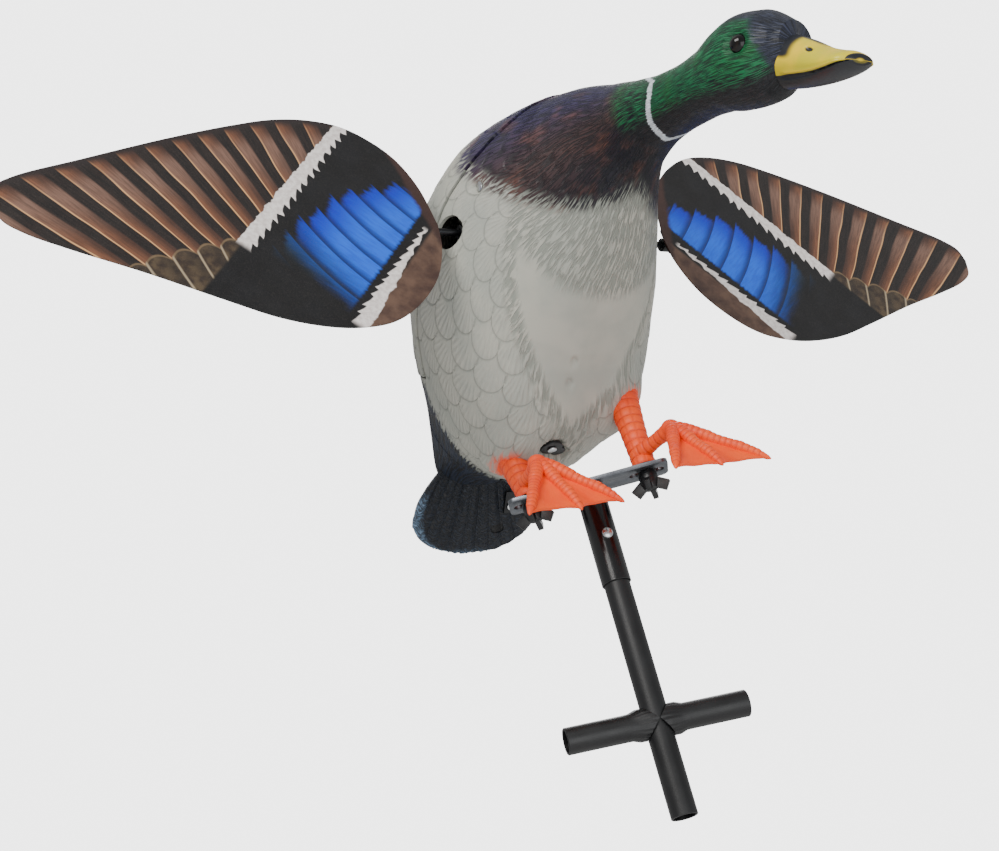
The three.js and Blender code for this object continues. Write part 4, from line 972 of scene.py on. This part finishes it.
for side, sign in (("right", -1), ("left", 1)):
    reach = WING_ROOT + WING_LENGTH * (0.5 - 0.5 * np.cos(np.linspace(0.02, math.pi - 0.02, 170)))
    upper, lower = wing_edges(reach)
    share = np.linspace(0, 1, 96)
    u = reach[:, None] + 0 * share
    v = lower[:, None] + share * (upper - lower)[:, None]
    y = WING_BACK - WING_THICKNESS / 2
    z = v
    points = np.stack([sign * u, y * math.cos(WING_TILT) - z * math.sin(WING_TILT),
                       y * math.sin(WING_TILT) + z * math.cos(WING_TILT)], -1) / 1000 + SHAFT
    bar_along = (u - 152) * 0.652 - (v - 89) * 0.759
    bar_across = (u - 152) * 0.759 + (v - 89) * 0.652
    angle = np.degrees(np.arctan2(v + 231, u - 128))
    far = np.hypot(v + 231, u - 128)
    covert_line = np.interp(u, [236, 266, 297, 324, 331, 352, 412],
                            [-16, -25, -35, -44, -50, -66, -90])
    marks = {
        "bars": np.stack([bar_along, bar_across, upper[:, None] - v], -1),
        "vanes": np.stack([(angle - 36) / 3.7, far, covert_line - v], -1),
    }
    plate = make_piece(f"{side}_wing_plate", points, grid_faces(*u.shape), f"{side}_wing_unit",
                       np.stack([u, v], -1), marks, wall=WING_THICKNESS / 1000,
                       offset=0.0, sharp=40, outward=False)
    plate.data.materials.append(print_front)
    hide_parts(f"{side}_wing")

# ---- post --------------------------------------------------------------------------------
# Two steel tubes, one sliding over the other and held by a sprung button, with two short
# foot pegs welded near the bottom. They are coated black: the sleeve glossy, the rest satin.
def black_coat(name, roughness, spread):
    """Black powder coat: fine pimpled grain, faint dust and a little wear."""
    coat_paint, w, shader = new_finish(name, roughness=roughness)
    grain, cloud = w.group(grain_effect, place=w.place(), scale=1100.0)
    coat = w.blend(w.step(cloud, 0.35, 0.7), srgb(3, 3, 5), srgb(9, 10, 13))
    coat = w.blend(w.math("MULTIPLY", w.step(grain, 0.62, 0.8), 0.35), coat, srgb(34, 36, 41))
    w.feed(shader["Base Color"], coat)
    w.feed(shader["Roughness"], w.step(cloud, 0.3, 0.7, roughness - spread, roughness + spread))
    w.feed(shader["Normal"], w.bump(grain, 0.00010, 0.7))
    return coat_paint


satin_black = black_coat("satin_black_coat", 0.42, 0.06)
gloss_black = black_coat("gloss_black_coat", 0.2, 0.05)
low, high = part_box("lower_post")
outer, inner = (high.x - low.x) / 2, (high.x - low.x) / 2 - 0.0015
post = turned_piece("lower_post_tube", tube_profile(0.0, high.z, outer, inner), (0, 0, 0), (0, 0, 1),
                    "stand_and_bird", 96)
post.data.materials.append(satin_black)
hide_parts("lower_post")
low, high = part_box("upper_post")
sleeve_outer = (high.x - low.x) / 2
sleeve = turned_piece("upper_post_tube", tube_profile(low.z, high.z, sleeve_outer,
                                                      sleeve_outer - 0.0009), (0, 0, 0), (0, 0, 1),
                      "stand_and_bird", 96)
sleeve.data.materials.append(gloss_black)
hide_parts("upper_post")

# A foot peg's root is cut to fit round the post and closed with a swollen weld bead.
PEG_TURN = -0.36
PEG_HEIGHT = 0.066
PEG_REACH = 0.0645
for side, sign in (("right", -1), ("left", 1)):
    axis = np.array([math.cos(PEG_TURN), math.sin(PEG_TURN), 0]) * sign
    beside = np.array([-axis[1], axis[0], 0])
    around = np.linspace(0, 2 * math.pi, 97)
    lift, span = np.sin(around), np.cos(around)
    outer_saddle, inner_saddle = (np.sqrt(np.maximum(outer**2 - (radius * span) ** 2, 0)) + 0.0002
                                  for radius in (outer, inner))
    c = 0.0005
    rings = []
    for share in np.linspace(0, 1, 12):   # weld bead and outer wall
        bead = 0.0017 * math.exp(-((share / 0.10) ** 2)) \
            + 0.0009 * math.exp(-(((share - 0.09) / 0.05) ** 2))
        ripple = 1 + 0.12 * np.sin(around * 21)
        rings.append((outer_saddle + (PEG_REACH - c - outer_saddle) * share,
                      outer + bead * ripple))
    rings.append((np.full(97, PEG_REACH), np.full(97, outer - c)))
    rings.append((np.full(97, PEG_REACH), np.full(97, inner + c)))
    rings.append((np.full(97, PEG_REACH - c), np.full(97, inner)))
    rings.append((inner_saddle, np.full(97, inner)))
    rings.append(rings[0])
    points = np.stack([
        distance[:, None] * axis + (radius * span)[:, None] * beside
        + np.stack([0 * around, 0 * around, radius * lift + PEG_HEIGHT], -1)
        for distance, radius in rings])
    peg = make_piece(f"{side}_foot_peg", points, grid_faces(len(rings), 97), "stand_and_bird",
                     sharp=40)
    peg.data.materials.append(satin_black)
    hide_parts(f"{side}_foot_peg_arm")

# ---- snap button -------------------------------------------------------------------------
# A nickel-plated domed button on a leaf spring inside the tubes locks the sleeve's height.
def plated_steel(name, tint, roughness, metallic=1.0):
    """Plated steel: fine scratches in the gloss and small dull spots."""
    plate, w, shader = new_finish(name, metallic=metallic, roughness=roughness)
    grain, cloud = w.group(grain_effect, place=w.place(), scale=2600.0)
    w.feed(shader["Base Color"], w.blend(w.step(cloud, 0.3, 0.7), srgb(*tint), srgb(
        *[int(value * 0.8) for value in tint])))
    w.feed(shader["Roughness"], w.step(grain, 0.3, 0.7, roughness * 0.7, roughness * 1.5))
    w.feed(shader["Normal"], w.bump(grain, 0.00004, 0.5))
    return plate


bright_steel = plated_steel("bright_steel", (226, 228, 230), 0.2)
SNAP_TURN = -0.26
ahead = np.array([math.sin(SNAP_TURN), -math.cos(SNAP_TURN), 0])
dome = [(0.0046, 0.0), (0.0046, 0.0037), (0.0050, 0.0040), (0.0112, 0.0040)]
dome += [(0.0112 + 0.0015 * math.sin(a), 0.0040 * math.cos(a)) for a in np.linspace(0.1, 1.57, 14)]
dome[-1] = (dome[-1][0], 0.0)
button = turned_piece("snap_button_dome", dome, (0, 0, 0.203), ahead, "snap", 64, sharp=50)
button.data.materials.append(bright_steel)
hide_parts("snap_button")

# ---- bracket, knobs and small fittings ---------------------------------------------------
# The turned, stamped and moulded fittings keep their engineered shapes. Each is a copy with
# its loose faces joined, its edges eased by a small bevel and the finish of its own material.
def eased_copy(node, bevel, material, sharp=30):
    """A copy of a fitting's solid with merged faces, a bevel of `bevel` metres on its edges
    and smooth shading over the gentle bends of its round faces."""
    source = frame["nodes"][node]
    shape = bmesh.new()
    shape.from_mesh(source.data)
    bmesh.ops.remove_doubles(shape, verts=shape.verts, dist=1e-6)
    bmesh.ops.dissolve_limit(shape, angle_limit=math.radians(0.6), verts=shape.verts,
                             edges=shape.edges)
    mesh = bpy.data.meshes.new(node + "_piece")
    shape.to_mesh(mesh)
    shape.free()
    piece = bpy.data.objects.new(node + "_piece", mesh)
    bpy.context.scene.collection.objects.link(piece)
    mesh.materials.clear()
    if bevel:
        ease = piece.modifiers.new("ease", "BEVEL")
        ease.width = bevel
        ease.segments = 2
        ease.limit_method = "ANGLE"
        ease.angle_limit = math.radians(35)
        graph = bpy.context.evaluated_depsgraph_get()
        piece.data = bpy.data.meshes.new_from_object(piece.evaluated_get(graph))
        piece.modifiers.clear()
    piece.data.polygons.foreach_set("use_smooth", np.ones(len(piece.data.polygons), bool))
    piece.data.set_sharp_from_angle(angle=math.radians(sharp))
    piece.data.materials.append(material)
    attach(piece, source["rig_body"])
    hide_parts(node)
    return piece


def moulded_plastic(name, dark, light, roughness):
    """Moulded plastic: a faint grain, cloudy gloss and pale scuffs."""
    plastic, w, shader = new_finish(name, roughness=roughness)
    grain, cloud = w.group(grain_effect, place=w.place(), scale=1600.0)
    coat = w.blend(w.step(cloud, 0.3, 0.7), srgb(*dark), srgb(*light))
    w.feed(shader["Base Color"], w.blend(w.math("MULTIPLY", w.step(grain, 0.6, 0.8), 0.3), coat,
                                         srgb(*[min(255, value + 45) for value in light])))
    w.feed(shader["Roughness"], w.step(grain, 0.3, 0.7, roughness - 0.08, roughness + 0.1))
    w.feed(shader["Normal"], w.bump(grain, 0.00008, 0.6))
    return plastic


black_plastic = moulded_plastic("black_plastic", (5, 5, 7), (14, 15, 18), 0.4)
grey_plastic = moulded_plastic("grey_plastic", (60, 63, 68), (84, 88, 94), 0.4)
bracket_metal = plated_steel("bracket_metal", (112, 116, 122), 0.34, 0.85)
dull_steel = plated_steel("dull_steel", (150, 153, 158), 0.36)
strap_web, w, shader = new_finish("strap_web", roughness=0.75)
weave = w.math("MULTIPLY", w.math("SINE", w.math("MULTIPLY", w.add(
    "SeparateXYZ", w.place(), out=1), 5200.0)), w.math("SINE", w.math("MULTIPLY", w.add(
        "SeparateXYZ", w.place(), out=2), 5200.0)))
# painted shade: the webbing is darker in the hollows of its weave
w.feed(shader["Base Color"], w.blend(w.step(weave, -0.6, 0.6), srgb(38, 40, 44), srgb(72, 75, 80)))
w.feed(shader["Normal"], w.bump(weave, 0.0001))
battery_wrap, w, shader = new_finish("battery_wrap", roughness=0.3)
grain, cloud = w.group(grain_effect, place=w.place(), scale=700.0)
across_cells = w.math("SINE", w.math("MULTIPLY", w.add("SeparateXYZ", w.place(), out=0), 290.0))
# painted shade: darker blue in the hollows between the cells
w.feed(shader["Base Color"], w.blend(w.step(across_cells, -0.9, 0.2), srgb(24, 38, 84),
                                     srgb(44, 72, 140)))
w.feed(shader["Normal"], w.bump(w.math("ADD", across_cells, w.math("MULTIPLY", grain, 0.2)), 0.0006))
board_green, w, shader = new_finish("board_green", roughness=0.35)
traces = w.add("TexVoronoi", w.place(), None, 260.0, out=0, feature="DISTANCE_TO_EDGE")
grain, cloud = w.group(grain_effect, place=w.place())
coat = w.blend(w.step(traces, 0.05, 0.10), srgb(60, 150, 84), srgb(14, 74, 40))
coat = w.blend(w.step(w.add("SeparateXYZ", w.place(), out=2), 0.4018, 0.4022), coat, srgb(26, 28, 30))
w.feed(shader["Base Color"], coat)
w.feed(shader["Normal"], w.bump(traces, 0.0001))

FITTINGS = [
    (0.0005, bracket_metal, "grey_metal", ["bracket_plate"]),
    (0.0004, black_plastic, "black_plastic", ["right_foot_knob", "left_foot_knob", "post_plug",
                                              "button_bezel", "power_switch", "motor_frame",
                                              "belly_plate"]),
    (0.0003, black_plastic, "black_plastic", ["right_leg_clip", "left_leg_clip",
                                              "right_motor_end_bell", "left_motor_end_bell",
                                              "right_shaft_bush", "left_shaft_bush",
                                              "right_wing_socket", "left_wing_socket"]),
    (0.0003, bright_steel, "steel", ["bracket_bolt", "belly_plate_screw", "tail_screw",
                                     "right_flank_screw", "left_flank_screw", "cover_hinge_pin",
                                     "snap_button_spring"]),
    (0.0002, dull_steel, "steel", ["right_leg_nut", "left_leg_nut", "motor_can", "shell_magnet",
                                   "cover_magnet", "right_shaft_magnet", "left_shaft_magnet",
                                   "right_wing_magnet", "left_wing_magnet"]),
    (0.0003, black_plastic, "grey_metal", ["tail_tab"]),
    (0.0003, grey_plastic, "grey_metal", ["motor_strap"]),
    (0.0005, grey_plastic, "button", ["power_button"]),
    (0.0004, strap_web, "strap", ["battery_strap"]),
    (0.0020, battery_wrap, "battery", ["battery_pack"]),
    (0.0001, board_green, "board", ["control_board"]),
]
for bevel, material, slot, nodes in FITTINGS:
    for node in nodes:
        eased_copy(node, bevel, material)
black_shaft = plated_steel("black_shaft", (34, 35, 38), 0.3, 0.7)
eased_copy("wing_shaft", 0.0003, black_shaft)

# ---- legs --------------------------------------------------------------------------------
# The legs are solid orange rubber, moulded with rings of scutes, and plug into the belly. A
# nut in each ankle takes the knob's stud through the bracket.
orange_rubber, w, shader = new_finish("orange_rubber", roughness=0.5, subsurface_weight=0.0)
lay = w.lay()
grain, cloud = w.group(grain_effect, place=w.place(), scale=1300.0)
crease, web, _ = w.mark("form")
coat = w.blend(w.step(cloud, 0.35, 0.65), srgb(238, 66, 0), srgb(246, 82, 2))
# painted shade: deep red in the creases between scutes and toe rings and along the web folds
coat = w.blend(w.math("MULTIPLY", crease, 0.55), coat, srgb(168, 26, 0))
coat = w.blend(w.math("MULTIPLY", web, w.step(grain, 0.3, 0.7, 0.05, 0.3)), coat, srgb(248, 88, 6))
w.feed(shader["Base Color"], coat)
w.feed(shader["Roughness"], w.step(grain, 0.3, 0.7, 0.42, 0.6))
w.feed(shader["Normal"], w.bump(w.math("SUBTRACT", grain, crease), 0.0002, 0.8))

FOOT_SPACING = 86.0
BRACKET_TURN = -0.57
ANKLE_LEVEL = 246.6
LEG_FOOT = {"right": -FOOT_SPACING / 2, "left": FOOT_SPACING / 2}
LEG_ROOT = {"right": np.array([-29.0, 43.0, 290.0]), "left": np.array([48.0, -6.0, 315.0])}


def foot_spot(side):
    """Where the side's knob passes through the bracket, in mm."""
    reach = LEG_FOOT[side]
    return np.array([reach * math.cos(BRACKET_TURN), reach * math.sin(BRACKET_TURN), ANKLE_LEVEL])


for side in ("right", "left"):
    bottom = foot_spot(side)
    reach = np.linalg.norm(LEG_ROOT[side] - bottom)
    axis = (LEG_ROOT[side] - bottom) / reach
    beside = np.cross(axis, (0, 1, 0))
    beside /= np.linalg.norm(beside)
    front = np.cross(axis, beside)
    around = np.linspace(0, 2 * math.pi, 73)
    steps = np.linspace(-14, reach + 8, 170)
    radius = np.interp(steps, [-14, 12, reach * 0.6, reach + 8], [8.8, 8.2, 9.6, 12.2])
    ring = np.mod(steps / 7.6, 1.0)
    crease = np.exp(-((np.minimum(ring, 1 - ring) / 0.07) ** 2))
    radius = radius + 0.55 * np.sin(ring * math.pi) - 0.35 * crease
    split = np.exp(-(((np.mod(around * 4 / math.pi, 1.0)[None] - 0.5) / 0.07) ** 2)) \
        * (np.cos(around)[None] > 0.2) * (1 - crease[:, None])
    radius = radius[:, None] - 0.25 * split
    crease = np.maximum(crease[:, None], 0.7 * split)
    end = np.array([[reach + 9, 6.0], [reach + 24, 6.0], [reach + 24, 0.0]])
    steps = np.r_[steps, end[:, 0]]
    radius = np.vstack([radius, np.repeat(end[:, 1:], 73, 1)])
    crease = np.vstack([crease, np.zeros((3, 73))])
    points = (bottom + steps[:, None, None] * axis + radius[..., None]
              * (np.cos(around)[:, None] * beside + np.sin(around)[:, None] * front))
    points = np.concatenate([points[:1] * 0 + bottom, points])
    crease = np.vstack([crease[:1] * 0, crease])
    points[..., 2] = np.maximum(points[..., 2], ANKLE_LEVEL)
    marks = {"form": np.stack([crease, 0 * crease, 0 * crease], -1)}
    leg = make_piece(f"{side}_leg_rubber", points / 1000, grid_faces(*points.shape[:2]),
                     "stand_and_bird", marks=marks, sharp=55)
    leg.data.materials.append(orange_rubber)
    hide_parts(f"{side}_leg")

# ---- feet --------------------------------------------------------------------------------
# Each foot is one orange rubber moulding: a short instep from the ankle, three ringed toes
# with small claws and two webs that sag between them. The toes droop as on a landing bird.
FOOT_PITCH = {"right": 56.0, "left": 51.0}
FOOT_ROLL = {"right": -3.5, "left": -7.0}
FOOT_YAW = {"right": -1.0, "left": 2.0}
TOE_ROOT = {"right": (-4.0, -28.0, 14.7), "left": (8.0, -32.0, 15.4)}  # from the ankle's foot
INSTEP_LIFT = 12.7
TOES = [(-31.0, 72.0), (-1.0, 66.0), (31.0, 77.0)]


def toe_spot(turn, reach, lift=0.0):
    """A point on a toe's middle line, from the ankle, toes ahead along -Y."""
    angle = math.radians(turn)
    return np.array([math.sin(angle) * reach, -math.cos(angle) * reach, lift])


def tube_along(path, radius, columns):
    """Closed skin round a path of points: a circle at each, square to the path, whose radius
    may change round it. The ends are drawn together."""
    ahead = np.gradient(path, axis=0)
    ahead /= np.linalg.norm(ahead, axis=1, keepdims=True)
    beside = np.cross(ahead, (0, 0, 1.0))
    beside /= np.linalg.norm(beside, axis=1, keepdims=True)
    over = np.cross(beside, ahead)
    around = np.linspace(0, 2 * math.pi, columns + 1)
    points = path[:, None] + radius[..., None] * (np.cos(around)[:, None] * beside[:, None]
                                                  + np.sin(around)[:, None] * over[:, None])
    return np.concatenate([points[:1] * 0 + path[0], points, points[-1:] * 0 + path[-1]])


for side, sign in (("right", -1), ("left", 1)):
    parts, counts, crease_marks = [], 0, []
    face_sets = []
    columns = 28
    for turn, reach in TOES:
        share = np.linspace(0.0, 1.0, 130)
        bend = 2.2 * np.sin(share * math.pi) + 1.4 * np.sin(share * math.pi * 3) * (1 - share)
        path = np.stack([toe_spot(turn * sign, reach * t, lift) for t, lift in zip(share, bend)])
        radius = np.interp(share, [0, 0.06, 0.5, 0.86, 0.97, 1.0], [5.2, 5.4, 4.3, 3.5, 1.7, 0.5])
        ring = np.mod(share * reach / 4.3, 1.0)
        crease = np.exp(-((np.minimum(ring, 1 - ring) / 0.12) ** 2)) * (share < 0.93)
        knuckle = 0.55 * np.exp(-(((share - 0.36) / 0.05) ** 2)) \
            + 0.5 * np.exp(-(((share - 0.68) / 0.045) ** 2))
        around = np.linspace(0, 2 * math.pi, columns + 1)
        upper = smooth(np.sin(around), -0.5, 0.4)
        radius = (radius + knuckle)[:, None] - 0.42 * crease[:, None] * upper
        radius = radius * (1 - 0.12 * (1 - upper))
        skin = tube_along(path, radius, columns)
        mark = np.vstack([np.zeros((1, columns + 1)), crease[:, None] * upper,
                          np.zeros((1, columns + 1))])
        parts.append(skin.reshape(-1, 3))
        face_sets.append(grid_faces(*skin.shape[:2]) + counts)
        crease_marks.append(np.stack([mark, 0 * mark, 0 * mark], -1).reshape(-1, 3))
        counts += len(parts[-1])
    for (turn_a, reach_a), (turn_b, reach_b) in zip(TOES, TOES[1:]):
        share = np.linspace(0, 1, 40)
        depth = np.linspace(0.02, 1, 46)[:, None]
        loop = np.r_[share, share[::-1][1:-1], share[:1]]
        face = np.r_[np.ones(40), -np.ones(38), 1.0]
        scoop = 0.97 - 0.10 * 4 * loop * (1 - loop)
        a = np.stack([toe_spot(turn_a * sign, reach_a * 0.97 * t) for t in np.linspace(0.02, 1, 46)])
        b = np.stack([toe_spot(turn_b * sign, reach_b * 0.97 * t) for t in np.linspace(0.02, 1, 46)])
        line = (a[:, None] * (1 - loop)[None, :, None] + b[:, None] * loop[None, :, None])
        line = line * (scoop / 0.97)[None, :, None]
        fold = 4 * loop * (1 - loop)
        sag = -2.0 * fold * depth + 0.5 * np.sin(loop * math.pi * 3) * depth
        half = 0.95 * np.minimum(1, 0.35 + 6 * np.minimum(loop, 1 - loop))
        line[..., 2] += sag + face * half * np.ones_like(depth)
        line = np.concatenate([line[:1].mean(1, keepdims=True) + 0 * line[:1], line,
                               line[-1:] - np.array([0, 0, 1.0]) * (face * half)[None, :, None]])
        parts.append(line.reshape(-1, 3))
        face_sets.append(grid_faces(*line.shape[:2]) + counts)
        weave = np.zeros(line.shape[:2] + (3,))
        weave[..., 1] = 1
        # fold lines across the web, darkened as painted shade
        weave[..., 0] = np.exp(-((np.mod(loop * 3 + 0.5, 1) - 0.5) / 0.05) ** 2)[None] * 0.12
        crease_marks.append(weave.reshape(-1, 3))
        counts += len(parts[-1])
    tilt = np.linspace(-math.pi / 2, math.pi / 2, 24)[:, None] + np.zeros((1, 41))
    around = np.linspace(0, 2 * math.pi, 41) + 0 * tilt
    ankle = np.stack([7.2 * np.cos(tilt) * np.cos(around), 7.2 * np.cos(tilt) * np.sin(around),
                      6.6 * np.sin(tilt)], -1)
    parts.append(ankle.reshape(-1, 3))
    face_sets.append(grid_faces(24, 41) + counts)
    crease_marks.append(np.zeros((24 * 41, 3)))
    counts += 24 * 41
    local = np.concatenate(parts)
    pitch, yaw = math.radians(FOOT_PITCH[side]), math.radians(FOOT_YAW[side])
    roll = math.radians(FOOT_ROLL[side])
    local = np.stack([local[:, 0] * math.cos(roll) + local[:, 2] * math.sin(roll), local[:, 1],
                      local[:, 2] * math.cos(roll) - local[:, 0] * math.sin(roll)], -1)
    turned = np.stack([local[:, 0], local[:, 1] * math.cos(pitch) - local[:, 2] * math.sin(pitch),
                       local[:, 1] * math.sin(pitch) + local[:, 2] * math.cos(pitch)], -1)
    turned = np.stack([turned[:, 0] * math.cos(yaw) - turned[:, 1] * math.sin(yaw),
                       turned[:, 0] * math.sin(yaw) + turned[:, 1] * math.cos(yaw),
                       turned[:, 2]], -1)
    spot = foot_spot(side)
    root = spot + np.array(TOE_ROOT[side])
    heel = spot + np.array([0, 0, INSTEP_LIFT])
    share = np.linspace(0, 1, 60)
    path = heel + share[:, None] * (root - heel)
    crease = np.exp(-(((np.mod(share * 6, 1.0) - 0.5) / 0.12) ** 2))
    radius = np.interp(share, [0, 0.5, 1], [6.6, 5.2, 6.2])[:, None] - 0.35 * crease[:, None] \
        + np.zeros((1, columns + 1))
    instep = tube_along(path, radius, columns)
    mark = np.zeros(instep.shape)
    mark[1:-1, :, 0] = crease[:, None]
    face_sets.append(grid_faces(*instep.shape[:2]) + counts)
    crease_marks.append(mark.reshape(-1, 3))
    points = np.concatenate([turned + root, instep.reshape(-1, 3)]) / 1000
    foot = make_piece(f"{side}_foot_rubber", points, np.concatenate(face_sets), "stand_and_bird",
                      marks={"form": np.concatenate(crease_marks)}, sharp=60)
    foot.data.materials.append(orange_rubber)
    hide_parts(f"{side}_foot")
